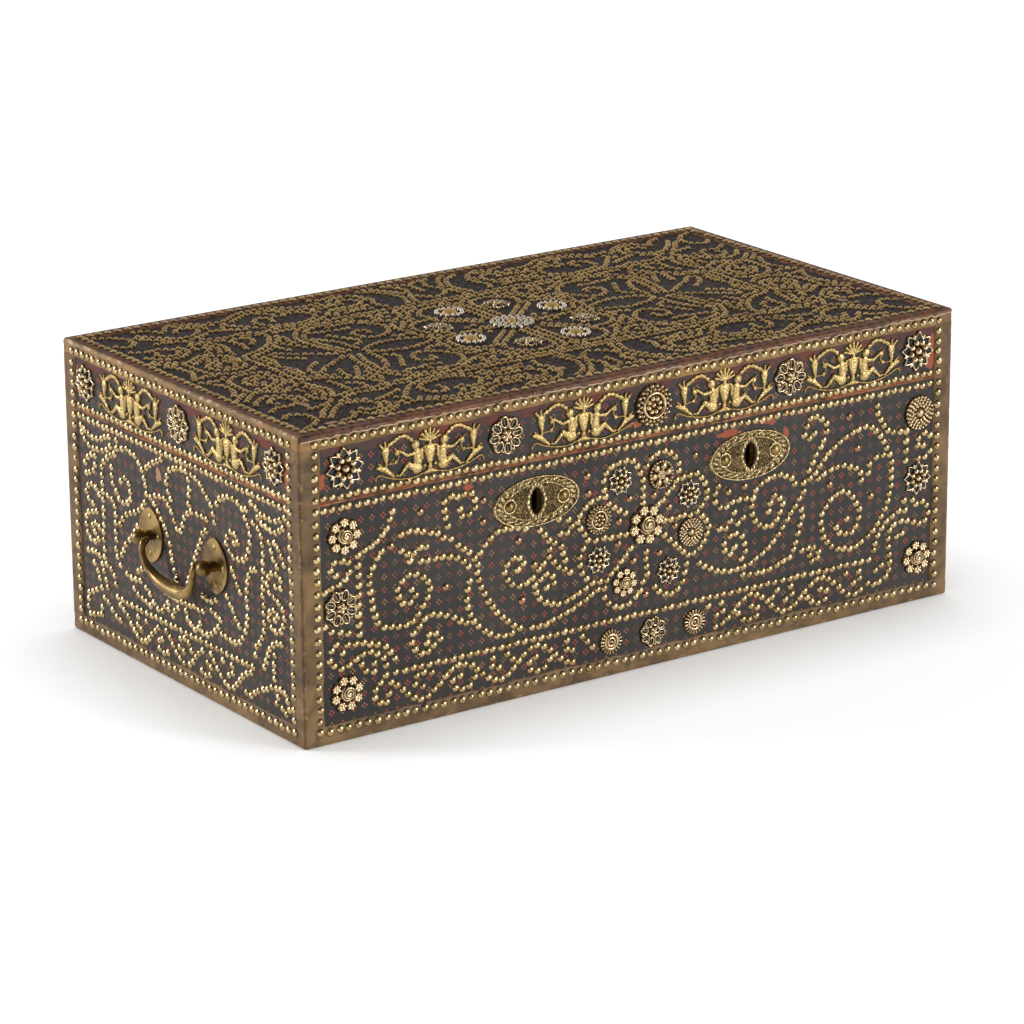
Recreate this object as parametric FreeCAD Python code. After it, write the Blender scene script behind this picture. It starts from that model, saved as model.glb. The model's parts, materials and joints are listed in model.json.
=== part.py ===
"""Leather-covered trunk with brass studs, built as it comes apart on a bench.

Millimetres. X runs along the front, the front faces -Y, Z is up. The origin is under the middle of the trunk,
on the surface that it stands on. Every piece is its own solid and every node goes to parts/NODE.step.
"""

import FreeCAD
import Part
import math
import os

from FreeCAD import Vector

# Overall size, over the leather edge bindings
TRUNK_LENGTH = 750.0
TRUNK_DEPTH = 420.0
TRUNK_HEIGHT = 292.0
LID_HEIGHT = 66.0
SEAM_GAP = 0.5

# Leather: panels on the boards, bindings over the edges, strips over the two rims
LEATHER_T = 1.5
BINDING_T = 1.5
RIM_STRIP_T = 1.2
EDGE_ROUND = 3.0
CORNER_BINDING_W = 22.0
BOTTOM_BINDING_H = 18.0
BOTTOM_BINDING_UNDER = 24.0
TOP_BINDING_DROP = 15.0
TOP_BINDING_W = 18.0

# Boards and their dovetails
BOARD_T = 14.0
BOTTOM_T = 12.0
LID_TOP_T = 12.0
TAIL_PITCH = 46.0
TAIL_W = 22.0
TAIL_FLARE = 2.0

# Dome-headed brass studs of the border rows
STUD_R = 4.0
STUD_RISE = 2.0
STUD_SHANK_R = 0.9
NAIL_TIP_CLEARANCE = 0.5
BORDER_PITCH = 10.3
SEAM_PITCH = 8.9
COLUMN_PITCH = 11.0
COLUMN_INSET = 17.0
BOTTOM_ROW_Z = 13.0
BASE_ROW_DROP = 6.0
LID_ROW_RISE = 4.2
LID_TOP_ROW_DROP = 9.5
TOP_ROW_INSET = 12.5
PANEL_ROW_Z = 54.0
PANEL_ROW_INSET = 100.0

# Smaller studs along the main scrolls
SCROLL_STUD_R = 3.7
SCROLL_STUD_RISE = 1.9
SCROLL_PITCH = 8.4
SCROLL_CLEARANCE = 0.2

# Main scrolls of the front, as points from its left edge and the floor, drawn at this length and rim height
DRAWN_LENGTH = 750.0
DRAWN_RIM_Z = 226.0
FRONT_SCROLLS = (
    # left half: side line, outer spiral, stem, inner spirals
    ((61, 98), (61, 172), (78, 180), (92, 191), (100, 214)),
    ((161, 169), (146, 176), (132, 181), (116, 184), (101, 180), (87, 172), (74, 153), (73, 139),
     (79, 110), (88, 100), (112, 96), (125, 105), (137, 124), (132, 137), (115, 143), (103, 132),
     (108, 118), (116, 117), (122, 123)),
    ((172, 195), (174, 187), (188, 193), (185, 207), (171, 206), (163, 209), (154, 199), (161, 169),
     (172, 159), (190, 142), (192, 120), (207, 94), (228, 73)),
    ((190, 142), (193, 150), (204, 161), (219, 166), (254, 161), (270, 145), (270, 131), (252, 115),
     (238, 109), (224, 115), (220, 128), (231, 138), (241, 130)),
    ((101, 173), (113, 165), (118, 151), (126, 153), (164, 151), (182, 135), (178, 104), (186, 84),
     (210, 66)),
    ((190, 74), (165, 92), (142, 101), (123, 91), (118, 76), (129, 65), (148, 75), (143, 82), (135, 82)),
    # lobes round the middle rosettes
    ((338, 169), (331, 187), (336, 201), (351, 207), (366, 205), (374, 192)),
    ((314, 138), (302, 158), (312, 171), (326, 177), (338, 169)),
    ((314, 136), (305, 124), (306, 110), (316, 99), (335, 95)),
    ((335, 95), (332, 81), (342, 69), (356, 66), (371, 74), (382, 92)),
    ((381, 92), (388, 80), (404, 67), (422, 74), (430, 101)),
    ((430, 101), (444, 106), (455, 126), (440, 142)),
    ((440, 142), (451, 153), (450, 168), (440, 180), (416, 178)),
    ((412, 172), (419, 186), (416, 200), (402, 209), (388, 205), (376, 192)),
    # right half: outer spiral, stem, inner spiral, side line
    ((568, 148), (580, 153), (602, 174), (629, 187), (645, 190), (658, 183), (675, 157), (678, 141),
     (673, 108), (654, 82), (627, 70), (598, 81), (591, 111), (615, 130), (637, 111), (632, 89),
     (616, 87), (609, 98)),
    ((581, 195), (575, 190), (569, 196), (575, 210), (583, 211), (595, 202), (593, 187), (568, 148),
     (556, 123), (536, 99), (511, 82), (482, 76), (453, 84), (430, 101)),
    ((567, 135), (554, 154), (539, 161), (517, 156), (507, 145), (506, 129), (514, 115), (532, 113),
     (543, 131), (532, 141)),
    ((571, 142), (601, 154), (617, 156), (637, 147), (642, 133), (650, 148), (666, 157)),
    ((695, 96), (695, 177), (676, 179), (668, 186), (659, 201)),
)

# Main scrolls of the top's front left quarter, drawn at this depth; the other quarters mirror them
DRAWN_DEPTH = 420.0
TOP_SCROLLS = (
    # frame between the border and the middle
    ((158, 96), (375, 96)),
    ((103, 210), (103, 163), (127, 151), (142, 140), (150, 131), (157, 119), (161, 106), (158, 96)),
    ((83, 121), (81, 108), (84, 96), (92, 88), (100, 83), (112, 90), (128, 93), (146, 89), (158, 96)),
    # outer and inner spirals and a stem
    ((186, 203), (180, 183), (177, 165), (175, 145), (182, 126), (194, 111), (210, 104), (230, 103),
     (248, 109), (262, 119), (278, 129), (290, 133), (300, 128), (306, 118), (301, 107), (290, 106),
     (285, 115)),
    ((222, 121), (235, 117), (250, 118), (262, 127), (270, 142), (267, 158), (256, 171), (243, 175),
     (232, 167), (229, 155), (236, 146), (245, 148)),
    ((205, 198), (204, 178), (199, 163), (192, 151), (182, 144)),
    # loops and a wave in the border
    ((60, 40), (75, 58), (90, 70), (108, 66), (118, 54), (114, 42), (102, 40), (97, 48)),
    ((183, 81), (195, 86), (215, 88), (233, 80), (239, 70), (236, 60), (228, 52), (218, 50), (212, 57)),
    ((140, 38), (152, 40), (164, 34), (176, 26), (195, 22), (220, 26), (232, 34), (245, 39), (262, 38)),
    ((248, 82), (254, 71), (264, 66), (291, 66), (300, 57), (299, 46), (290, 40), (281, 44), (281, 53)),
    ((338, 86), (344, 66), (340, 48), (330, 32), (318, 25)),
    ((72, 150), (86, 160), (92, 172), (90, 186), (80, 194), (66, 192), (57, 182), (58, 170), (67, 164)),
    ((26, 128), (38, 140), (50, 148), (60, 142), (72, 134), (80, 142)),
    # lobes round the rosettes
    ((366, 190), (366, 130), (358, 119), (342, 115), (326, 123), (319, 137), (325, 152)),
    ((325, 152), (310, 153), (296, 157), (287, 168), (287, 185), (294, 198), (308, 201)),
)

# Pressed brass rosettes and plaques
PRESSED_T = 1.4
ROSETTE_PETALS = 8
ROSETTE_DOME_RISE = 3.0
BIG_ROSETTE_R = 20.0
EDGE_ROSETTE_R = 17.5
SMALL_ROSETTE_R = 14.0
SUN_ROSETTE_R = 12.5
ROSETTE_INSET = 46.0
RIGHT_ROSETTE_INSET = 40.0
UPPER_ROSETTE_DROP = 33.0
LOWER_ROSETTE_Z = 45.0
MIDDLE_ROSETTE_DROP = 99.0
MIDDLE_ROSETTE_INSET = 41.0
SUN_ROSETTE_Z = 34.0
SUN_SHIFT = 8.0
FLOWER_ROSETTE_R = 15.0
SUN_SPACING = 49.0
CLUSTER_RISE = 4.0
CLUSTER_SHIFT = 5.0
CLUSTER_SPOTS = ((50, 21), (17, 46), (-30, 48), (-55, 15), (-55, -24), (-25, -52), (26, -50), (52, -17))
LID_ORNAMENT_RISE = 29.3
LID_ROSETTE_R = 20.5
LID_SMALL_ROSETTE_R = 18.5
PLAQUE_LENGTH = 117.0
PLAQUE_HEIGHT = 41.0
TOP_RING_R = 72.0
TOP_RING_COUNT = 8
TOP_CENTRE_ROSETTE_R = 20.0
TOP_RING_ROSETTE_R = 15.0

# Where the lid's rosettes and plaques stand, as shares of the side they are on
LID_FRONT_ROSETTES = (0.064, 0.295, 0.517, 0.732, 0.941)
LID_FRONT_PLAQUES = (0.185, 0.411, 0.628, 0.835)
LID_END_ROSETTES = (0.098, 0.507, 0.9)
LID_END_PLAQUES = (0.298, 0.71)

# Butt hinges at the back
HINGE_SPACING = 400.0
HINGE_LENGTH = 70.0
HINGE_LEAF_W = 13.0
HINGE_LEAF_T = 2.0
HINGE_BARREL_R = 4.5
HINGE_PIN_R = 2.0
HINGE_PIN_CLEARANCE = 0.06
HINGE_STANDOFF = 0.4
HINGE_KNUCKLES = 5
KNUCKLE_GAP = 0.3
HINGE_SCREWS = 3

# Wood screws and their holes
SCREW_R = 1.6
SCREW_LENGTH = 9.0
SCREW_HEAD_R = 3.0
SCREW_HEAD_T = 1.2
SCREW_CLEARANCE = 0.15

# Locks behind the two keyholes
LOCK_SPACING = 247.0
LOCK_SHIFT = 3.5
KEYHOLE_DROP = 39.0
KEYHOLE_W = 10.5
KEYHOLE_H = 23.0
LOCK_CASE_W = 82.0
LOCK_CASE_T = 9.0
LOCK_CASE_BELOW = 20.0
LOCK_WALL = 1.5
LOCK_FLANGE_W = 9.0
LOCK_FLANGE_T = 1.5
BOLT_DROP = 13.0
BOLT_LENGTH = 34.0
BOLT_H = 10.0
BOLT_TRAVEL = 9.0
BOLT_CLEARANCE = 0.3
TONGUE_LENGTH = 12.0
TONGUE_T = 2.2
TONGUE_H = 6.0
TALON_R = 3.5
STAPLE_T = 4.0
STAPLE_W = 4.4
STAPLE_CLEARANCE = 0.5
STAPLE_SWING_CLEARANCE = 0.8
EYE_CLEARANCE = 0.4
STAPLE_PLATE_L = 60.0
STAPLE_PLATE_W = 9.0
STAPLE_PLATE_T = 2.0
STAPLE_X = 24.0
STAPLE_SCREW_X = 20.0

# Oval keyhole escutcheons
ESCUTCHEON_L = 97.0
ESCUTCHEON_H = 48.0
ESCUTCHEON_T = 1.6
ESCUTCHEON_RIM_W = 3.0
ESCUTCHEON_RIM_RISE = 1.0
ESCUTCHEON_NAIL_X = 30.0
ESCUTCHEON_NAIL_R = 5.0
ESCUTCHEON_NAIL_RISE = 2.6

# Bail handles on the two ends
HANDLE_DROP = 91.0
HANDLE_FORWARD = 4.0
HANDLE_SPACING = 116.0
HANDLE_PLATE_W = 42.0
HANDLE_PLATE_H = 54.0
HANDLE_PLATE_T = 2.0
HANDLE_RIVET_R = 3.0
HANDLE_RIVET_RISE = 1.2
HANDLE_RIVET_UP = 18.0
HANDLE_RIVET_SIDE = 14.0
POST_REACH = 11.5
POST_NECK_R = 5.2
POST_BULB_R = 7.5
BAIL_PIN_R = 2.8
BAIL_PIN_CLEARANCE = 0.08
BAIL_PIN_SHORT = 0.8
BAIL_SIDE_GAP = 0.6
BAIL_DROP = 36.0
BAIL_BULGE = 5.0
BAIL_LEAN = 4.0
BAIL_END_R = 3.2
BAIL_KNOB_R = 3.6
BAIL_GRIP_R = 7.0
BAIL_SQUARENESS = 2.3
BAIL_STATIONS = 25

# Planes worked out from the sizes, from the outside in and from the floor up
half_length = TRUNK_LENGTH / 2
half_depth = TRUNK_DEPTH / 2
skin_x = half_length - BINDING_T
skin_y = half_depth - BINDING_T
wood_x = skin_x - LEATHER_T
wood_y = skin_y - LEATHER_T
room_x = wood_x - BOARD_T
room_y = wood_y - BOARD_T
foot_z = BINDING_T
room_floor_z = foot_z + BOTTOM_T
rim_z = TRUNK_HEIGHT - LID_HEIGHT
rim_wood_z = rim_z - RIM_STRIP_T
lid_z = rim_z + SEAM_GAP
lid_wood_z = lid_z + RIM_STRIP_T
lid_skin_z = TRUNK_HEIGHT - BINDING_T
lid_wood_top_z = lid_skin_z - LEATHER_T
lid_room_z = lid_wood_top_z - LID_TOP_T
edge_round = min(EDGE_ROUND, 2.4 * BINDING_T)
hinge_y = skin_y + HINGE_STANDOFF + HINGE_BARREL_R
hinge_z = rim_z + SEAM_GAP / 2
hinge_xs = (-HINGE_SPACING / 2, HINGE_SPACING / 2)
lock_xs = (LOCK_SHIFT - LOCK_SPACING / 2, LOCK_SHIFT + LOCK_SPACING / 2)
post_ys = (-HANDLE_FORWARD - HANDLE_SPACING / 2, -HANDLE_FORWARD + HANDLE_SPACING / 2)
nail_length = LEATHER_T + BOARD_T - LOCK_CASE_T - NAIL_TIP_CLEARANCE
ornament_z = lid_z + LID_ORNAMENT_RISE
keyhole_z = rim_z - KEYHOLE_DROP
handle_z = rim_z - HANDLE_DROP
middle_rosette_z = rim_z - MIDDLE_ROSETTE_DROP
cluster_z = (PANEL_ROW_Z + rim_z - BASE_ROW_DROP) / 2 + CLUSTER_RISE
case_y1 = -room_y
case_y0 = case_y1 - LOCK_CASE_T
case_y = (case_y0 + case_y1) / 2
case_z0 = keyhole_z - LOCK_CASE_BELOW
bolt_z = rim_z - BOLT_DROP
shelf_z = bolt_z - BOLT_H / 2 - BOLT_CLEARANCE

os.makedirs("parts", exist_ok=True)


def box(x0, x1, y0, y1, z0, z1):
    """A box between two corners."""
    return Part.makeBox(x1 - x0, y1 - y0, z1 - z0, Vector(x0, y0, z0))


def rod(radius, start, end):
    """A cylinder from one point to another."""
    start, end = Vector(start), Vector(end)
    return Part.makeCylinder(radius, (end - start).Length, start, end - start)


def prism(points, along):
    """A polygon pushed along a vector."""
    wire = Part.makePolygon([Vector(p) for p in points + points[:1]])
    return Part.Face(wire).extrude(Vector(along))


def joined(shapes):
    """One solid from shapes that overlap or touch."""
    return shapes[0].multiFuse(shapes[1:]).removeSplitter().Solids[0]


def domed(radius, rise, below):
    """A dome on Z = 0, of a rise of at most the radius, turned on Z with the (radius, Z) points below it."""
    ball_r = (radius**2 + rise**2) / (2 * rise)
    edge_angle = math.asin(min(1.0, radius / ball_r))
    middle = Vector(ball_r * math.sin(edge_angle / 2), 0, rise - ball_r + ball_r * math.cos(edge_angle / 2))
    crown, brim = Vector(0, 0, rise), Vector(radius, 0, 0)
    corners = [brim] + [Vector(r, 0, z) for r, z in below] + [crown]
    edges = [Part.Arc(crown, middle, brim).toShape()]
    edges += [Part.makeLine(start, end) for start, end in zip(corners, corners[1:])]
    return Part.Face(Part.Wire(edges)).revolve(Vector(0, 0, 0), Vector(0, 0, 1), 360)


def dome(radius, rise, shank_r, shank_length):
    """A dome-headed nail that points down -Z, its head resting on Z = 0."""
    return domed(radius, rise, [(shank_r, 0), (shank_r, -shank_length), (0, -shank_length)])


class Side:
    """One outer face. Seen from outside, u runs to the right and v up; lift is off its leather."""

    def __init__(self, corner, right, up, out):
        self.corner, self.right, self.up, self.out = Vector(corner), Vector(right), Vector(up), Vector(out)
        self.turn = FreeCAD.Rotation(self.right, self.up, self.out, "ZXY")

    def place(self, shape, u, v, lift=0.0):
        """A copy of a shape that was made lying on the XY plane, looking up +Z."""
        at = self.corner + self.right * u + self.up * v + self.out * lift
        placed = shape.copy()
        placed.Placement = FreeCAD.Placement(at, self.turn)
        return placed


FRONT = Side((-half_length, -skin_y, 0), (1, 0, 0), (0, 0, 1), (0, -1, 0))
BACK = Side((half_length, skin_y, 0), (-1, 0, 0), (0, 0, 1), (0, 1, 0))
LEFT = Side((-skin_x, half_depth, 0), (0, -1, 0), (0, 0, 1), (-1, 0, 0))
RIGHT = Side((skin_x, -half_depth, 0), (0, 1, 0), (0, 0, 1), (1, 0, 0))
TOP = Side((-half_length, -half_depth, lid_skin_z), (1, 0, 0), (0, 1, 0), (0, 0, 1))

nodes = {}


# Boards, dovetailed at the corners
def tails(sign_x, sign_y, z0, z1):
    """The dovetails of an end board in one corner, widening towards the front or back face."""
    count = max(1, int((z1 - z0) / TAIL_PITCH))
    pitch = (z1 - z0) / count
    made = []
    for i in range(count):
        middle = z0 + pitch * (i + 0.5)
        x = sign_x * wood_x
        inner, outer = sign_y * room_y, sign_y * wood_y
        narrow, wide = TAIL_W / 2, TAIL_W / 2 + TAIL_FLARE
        low = [(x, inner, middle - narrow), (x, outer, middle - wide)]
        high = [(x, outer, middle + wide), (x, inner, middle + narrow)]
        made.append(prism(low + high, (-sign_x * BOARD_T, 0, 0)))
    return made


def walls(z0, z1):
    """Front, back, left and right boards of one box, from z0 to z1."""
    front = box(-wood_x, wood_x, -wood_y, -room_y, z0, z1)
    back = box(-wood_x, wood_x, room_y, wood_y, z0, z1)
    ends = []
    for sign_x in (-1, 1):
        x0, x1 = sorted((sign_x * wood_x, sign_x * room_x))
        end = box(x0, x1, -room_y, room_y, z0, z1)
        front_tails, back_tails = tails(sign_x, -1, z0, z1), tails(sign_x, 1, z0, z1)
        front, back = front.cut(front_tails), back.cut(back_tails)
        ends.append(joined([end] + front_tails + back_tails))
    return front, back, ends[0], ends[1]


def make_boards():
    base = walls(foot_z, rim_wood_z)
    lid = walls(lid_wood_z, lid_room_z)
    for name, shape in zip(("front_board", "back_board", "left_end_board", "right_end_board"), base):
        nodes[name] = shape
    for name, shape in zip(("lid_front_rail", "lid_back_rail", "lid_left_rail", "lid_right_rail"), lid):
        nodes[name] = shape
    nodes["bottom_board"] = box(-room_x, room_x, -room_y, room_y, foot_z, room_floor_z)
    nodes["lid_top_board"] = box(-wood_x, wood_x, -wood_y, wood_y, lid_room_z, lid_wood_top_z)


# Leather panels on the boards
def make_panels():
    for prefix, z0, z1 in (("", foot_z, rim_wood_z), ("lid_", lid_wood_z, lid_wood_top_z)):
        nodes[prefix + "front_leather"] = box(-skin_x, skin_x, -skin_y, -wood_y, z0, z1)
        nodes[prefix + "back_leather"] = box(-skin_x, skin_x, wood_y, skin_y, z0, z1)
        nodes[prefix + "left_leather"] = box(-skin_x, -wood_x, -wood_y, wood_y, z0, z1)
        nodes[prefix + "right_leather"] = box(wood_x, skin_x, -wood_y, wood_y, z0, z1)
    nodes["lid_top_leather"] = box(-skin_x, skin_x, -skin_y, skin_y, lid_wood_top_z, lid_skin_z)
    for name, z0, z1 in (("base_rim_strip", rim_wood_z, rim_z), ("lid_rim_strip", lid_z, lid_wood_z)):
        hole = box(-room_x, room_x, -room_y, room_y, z0, z1)
        nodes[name] = box(-skin_x, skin_x, -skin_y, skin_y, z0, z1).cut(hole)


# Leather bindings over the edges
def rounded(shape, picks):
    """The shape with the edges rounded that lie along the outside and that picks accepts."""
    edges = [e for e in shape.Edges if picks(e.CenterOfMass, e.tangentAt(e.FirstParameter))]
    return shape.makeFillet(edge_round, edges)


def outer_block(z0, z1, round_z):
    """The trunk's outline from z0 to z1, its upright edges rounded, and those at round_z if that is given."""
    block = box(-half_length, half_length, -half_depth, half_depth, z0, z1)
    return rounded(block, lambda c, t: abs(t.z) > 0.5 or (round_z is not None and abs(c.z - round_z) < 1e-6))


def mitred(ring, reach, z0, z1):
    """A ring cut into four strips that meet in mitres."""
    x, y = half_length, half_depth
    front = [(-x, -y, z0), (x, -y, z0), (x - reach, -y + reach, z0), (-x + reach, -y + reach, z0)]
    left = [(-x, y, z0), (-x, -y, z0), (-x + reach, -y + reach, z0), (-x + reach, y - reach, z0)]
    strips = []
    for outline in (front, left):
        for sign in (1, -1):
            turned = [(px * sign, py * sign, pz) for px, py, pz in outline]
            strips += ring.common(prism(turned, (0, 0, z1 - z0))).Solids
    return Part.makeCompound(strips)


def corner_strips(z0, z1):
    """Four upright strips that wrap the corners from z0 to z1."""
    shell = outer_block(z0, z1, None).cut(box(-skin_x, skin_x, -skin_y, skin_y, z0, z1))
    strips = []
    for sign_x in (-1, 1):
        for sign_y in (-1, 1):
            x0, x1 = sorted((sign_x * half_length, sign_x * (half_length - CORNER_BINDING_W)))
            y0, y1 = sorted((sign_y * half_depth, sign_y * (half_depth - CORNER_BINDING_W)))
            strips += shell.common(box(x0, x1, y0, y1, z0, z1)).Solids
    return Part.makeCompound(strips)


def make_bindings():
    bottom = outer_block(0, BOTTOM_BINDING_H, 0)
    bottom = bottom.cut(box(-skin_x, skin_x, -skin_y, skin_y, foot_z, BOTTOM_BINDING_H))
    under_x, under_y = half_length - BOTTOM_BINDING_UNDER, half_depth - BOTTOM_BINDING_UNDER
    bottom = bottom.cut(box(-under_x, under_x, -under_y, under_y, 0, foot_z))
    nodes["bottom_binding"] = mitred(bottom, BOTTOM_BINDING_UNDER, 0, BOTTOM_BINDING_H)
    top_z0 = TRUNK_HEIGHT - TOP_BINDING_DROP
    top = outer_block(top_z0, TRUNK_HEIGHT, TRUNK_HEIGHT)
    top = top.cut(box(-skin_x, skin_x, -skin_y, skin_y, top_z0, lid_skin_z))
    over_x, over_y = half_length - TOP_BINDING_W, half_depth - TOP_BINDING_W
    top = top.cut(box(-over_x, over_x, -over_y, over_y, lid_skin_z, TRUNK_HEIGHT))
    nodes["lid_top_binding"] = mitred(top, TOP_BINDING_W, top_z0, TRUNK_HEIGHT)
    nodes["corner_bindings"] = corner_strips(BOTTOM_BINDING_H, rim_z)
    nodes["lid_corner_bindings"] = corner_strips(lid_z, top_z0)


# Hinges: two leaves let into the rims, a barrel of alternate knuckles and a pin
def knuckle_spans(middle, parity):
    """The stretches of X that the even or odd knuckles of a hinge hold."""
    step = HINGE_LENGTH / HINGE_KNUCKLES
    first = middle - HINGE_LENGTH / 2
    return [(first + step * i, first + step * (i + 1)) for i in range(HINGE_KNUCKLES) if i % 2 == parity]


def hinge_leaf(middle, parity, z0, z1):
    """A leaf between z0 and z1 with its own knuckles, clear of the other leaf's."""
    x0, x1 = middle - HINGE_LENGTH / 2, middle + HINGE_LENGTH / 2
    plate = box(x0, x1, skin_y - HINGE_LEAF_W, hinge_y, z0, z1)
    barrel = rod(HINGE_BARREL_R, (x0, hinge_y, hinge_z), (x1, hinge_y, hinge_z))
    leaf = joined([plate, barrel])
    for a, b in knuckle_spans(middle, 1 - parity):
        start, end = (a - KNUCKLE_GAP, hinge_y, hinge_z), (b + KNUCKLE_GAP, hinge_y, hinge_z)
        leaf = leaf.cut(rod(HINGE_BARREL_R + HINGE_STANDOFF, start, end))
    bore_r = HINGE_PIN_R + HINGE_PIN_CLEARANCE
    return leaf.cut(rod(bore_r, (x0, hinge_y, hinge_z), (x1, hinge_y, hinge_z)))


def hinge_screw_points(middle):
    step = HINGE_LENGTH / HINGE_SCREWS
    y = skin_y - HINGE_LEAF_W / 2
    return [(middle + step * (i - (HINGE_SCREWS - 1) / 2), y) for i in range(HINGE_SCREWS)]


def countersink(mouth, depth, way):
    """The hole for a flush screw in a plate depth thick, going down (way -1) or up (way 1)."""
    wide, narrow = SCREW_HEAD_R + SCREW_CLEARANCE, SCREW_R + SCREW_CLEARANCE
    return Part.makeCone(wide, narrow, depth, mouth, Vector(0, 0, way))


def flush_screw(mouth, depth, way):
    """A screw with its flat head flush in a plate depth thick, driven down (way -1) or up (way 1)."""
    head = Part.makeCone(SCREW_HEAD_R, SCREW_R, depth, mouth, Vector(0, 0, way))
    throat = mouth + Vector(0, 0, way * depth)
    return joined([head, rod(SCREW_R, throat, throat + Vector(0, 0, way * SCREW_LENGTH))])


def make_hinges():
    pin_head_t = HINGE_BARREL_R / 2
    leaf_spans = (("base", 0, rim_z - HINGE_LEAF_T, rim_z), ("lid", 1, lid_z, lid_z + HINGE_LEAF_T))
    screws = {"base": [], "lid": []}
    for side, middle in zip(("left", "right"), hinge_xs):
        x0, x1 = middle - HINGE_LENGTH / 2, middle + HINGE_LENGTH / 2
        for body, parity, z0, z1 in leaf_spans:
            leaf = hinge_leaf(middle, parity, z0, z1)
            face = z1 if body == "base" else z0
            way = -1 if body == "base" else 1
            for x, y in hinge_screw_points(middle):
                leaf = leaf.cut(countersink(Vector(x, y, face), HINGE_LEAF_T, way))
                screws[body].append(flush_screw(Vector(x, y, face), HINGE_LEAF_T, way))
            nodes[side + "_hinge_" + body + "_leaf"] = leaf
            recess = box(x0, x1, skin_y - HINGE_LEAF_W, skin_y, z0, z1)
            for name in leaf_neighbours(body):
                nodes[name] = nodes[name].cut(recess)
        shaft = rod(HINGE_PIN_R, (x0 - pin_head_t, hinge_y, hinge_z), (x1 + pin_head_t, hinge_y, hinge_z))
        heads = []
        for near, far in ((x0 - KNUCKLE_GAP, x0 - pin_head_t), (x1 + KNUCKLE_GAP, x1 + pin_head_t)):
            heads.append(rod(HINGE_BARREL_R * 0.8, (near, hinge_y, hinge_z), (far, hinge_y, hinge_z)))
        nodes[side + "_hinge_pin"] = joined([shaft] + heads)
    nodes["hinge_base_screws"] = Part.makeCompound(screws["base"])
    nodes["hinge_lid_screws"] = Part.makeCompound(screws["lid"])


def leaf_neighbours(body):
    """What a hinge leaf is let into."""
    if body == "base":
        return ("back_board", "back_leather", "base_rim_strip")
    return ("lid_back_rail", "lid_back_leather", "lid_rim_strip")


# Locks: a case let into the front board, a sliding bolt, and a staple on the lid that it shoots through
def slot(width, height, y0, y1, x, z):
    """An upright slot with round ends, through Y."""
    straight = height / 2 - width / 2
    middle = box(x - width / 2, x + width / 2, y0, y1, z - straight, z + straight)
    ends = [rod(width / 2, (x, y0, z + s * straight), (x, y1, z + s * straight)) for s in (-1, 1)]
    return joined([middle] + ends)


def lock_case(x):
    """(case, pocket it is let into, screws) of the lock at x. It opens to the keyhole and to the staple."""
    x0, x1 = x - LOCK_CASE_W / 2, x + LOCK_CASE_W / 2
    pocket = box(x0, x1, case_y0, case_y1, case_z0, rim_z)
    flange_y = case_y1 + LOCK_FLANGE_T
    flange = box(x0 - LOCK_FLANGE_W, x1 + LOCK_FLANGE_W, case_y1, flange_y, case_z0, rim_wood_z)
    cavity = box(
        x0 + LOCK_WALL, x1 - LOCK_WALL,
        case_y0 + LOCK_WALL, case_y1 - LOCK_WALL,
        case_z0 + LOCK_WALL, rim_z - LOCK_WALL,
    )
    inner = KEYHOLE_W + TALON_R
    shelves = [
        box(x0, x - inner, case_y0, case_y1, shelf_z - LOCK_WALL, shelf_z),
        box(x + inner, x1, case_y0, case_y1, shelf_z - LOCK_WALL, shelf_z),
    ]
    case = joined([pocket.cut(cavity), flange] + shelves)
    case = case.cut(slot(KEYHOLE_W, KEYHOLE_H, case_y0, case_y0 + LOCK_WALL, x, keyhole_z))
    half_t, half_w = STAPLE_T / 2 + STAPLE_CLEARANCE, STAPLE_W / 2 + STAPLE_SWING_CLEARANCE
    staple_x = x + STAPLE_X
    gate = box(
        staple_x - half_t, staple_x + half_t, case_y - half_w, case_y + half_w, shelf_z - LOCK_WALL, rim_z
    )
    case = case.cut(gate)
    screws = []
    for screw_x in (x0 - LOCK_FLANGE_W / 2, x1 + LOCK_FLANGE_W / 2):
        for screw_z in (case_z0 + LOCK_FLANGE_W, rim_wood_z - LOCK_FLANGE_W):
            hole = rod(SCREW_R + SCREW_CLEARANCE, (screw_x, case_y1, screw_z), (screw_x, flange_y, screw_z))
            case = case.cut(hole)
            screws.append(cheese_screw(screw_x, flange_y, screw_z))
    return case, pocket, screws


def lock_bolt(x):
    """The bolt of the lock at x, drawn back: a bar with a talon for the key and a tongue for the staple."""
    tip = x + STAPLE_X - STAPLE_T / 2 - STAPLE_CLEARANCE
    root = tip - TONGUE_LENGTH
    half_t = LOCK_CASE_T / 2 - LOCK_WALL - BOLT_CLEARANCE
    low, high = bolt_z - BOLT_H / 2, bolt_z + BOLT_H / 2
    bar = box(root - BOLT_LENGTH, root, case_y - half_t, case_y + half_t, low, high)
    tongue = box(
        root, tip, case_y - TONGUE_T / 2, case_y + TONGUE_T / 2, bolt_z - TONGUE_H / 2, bolt_z + TONGUE_H / 2
    )
    talon_x = root - BOLT_LENGTH / 2
    talon = rod(TALON_R, (talon_x, case_y0, low), (talon_x, case_y1, low))
    return joined([bar, tongue]).cut(talon)


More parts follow.
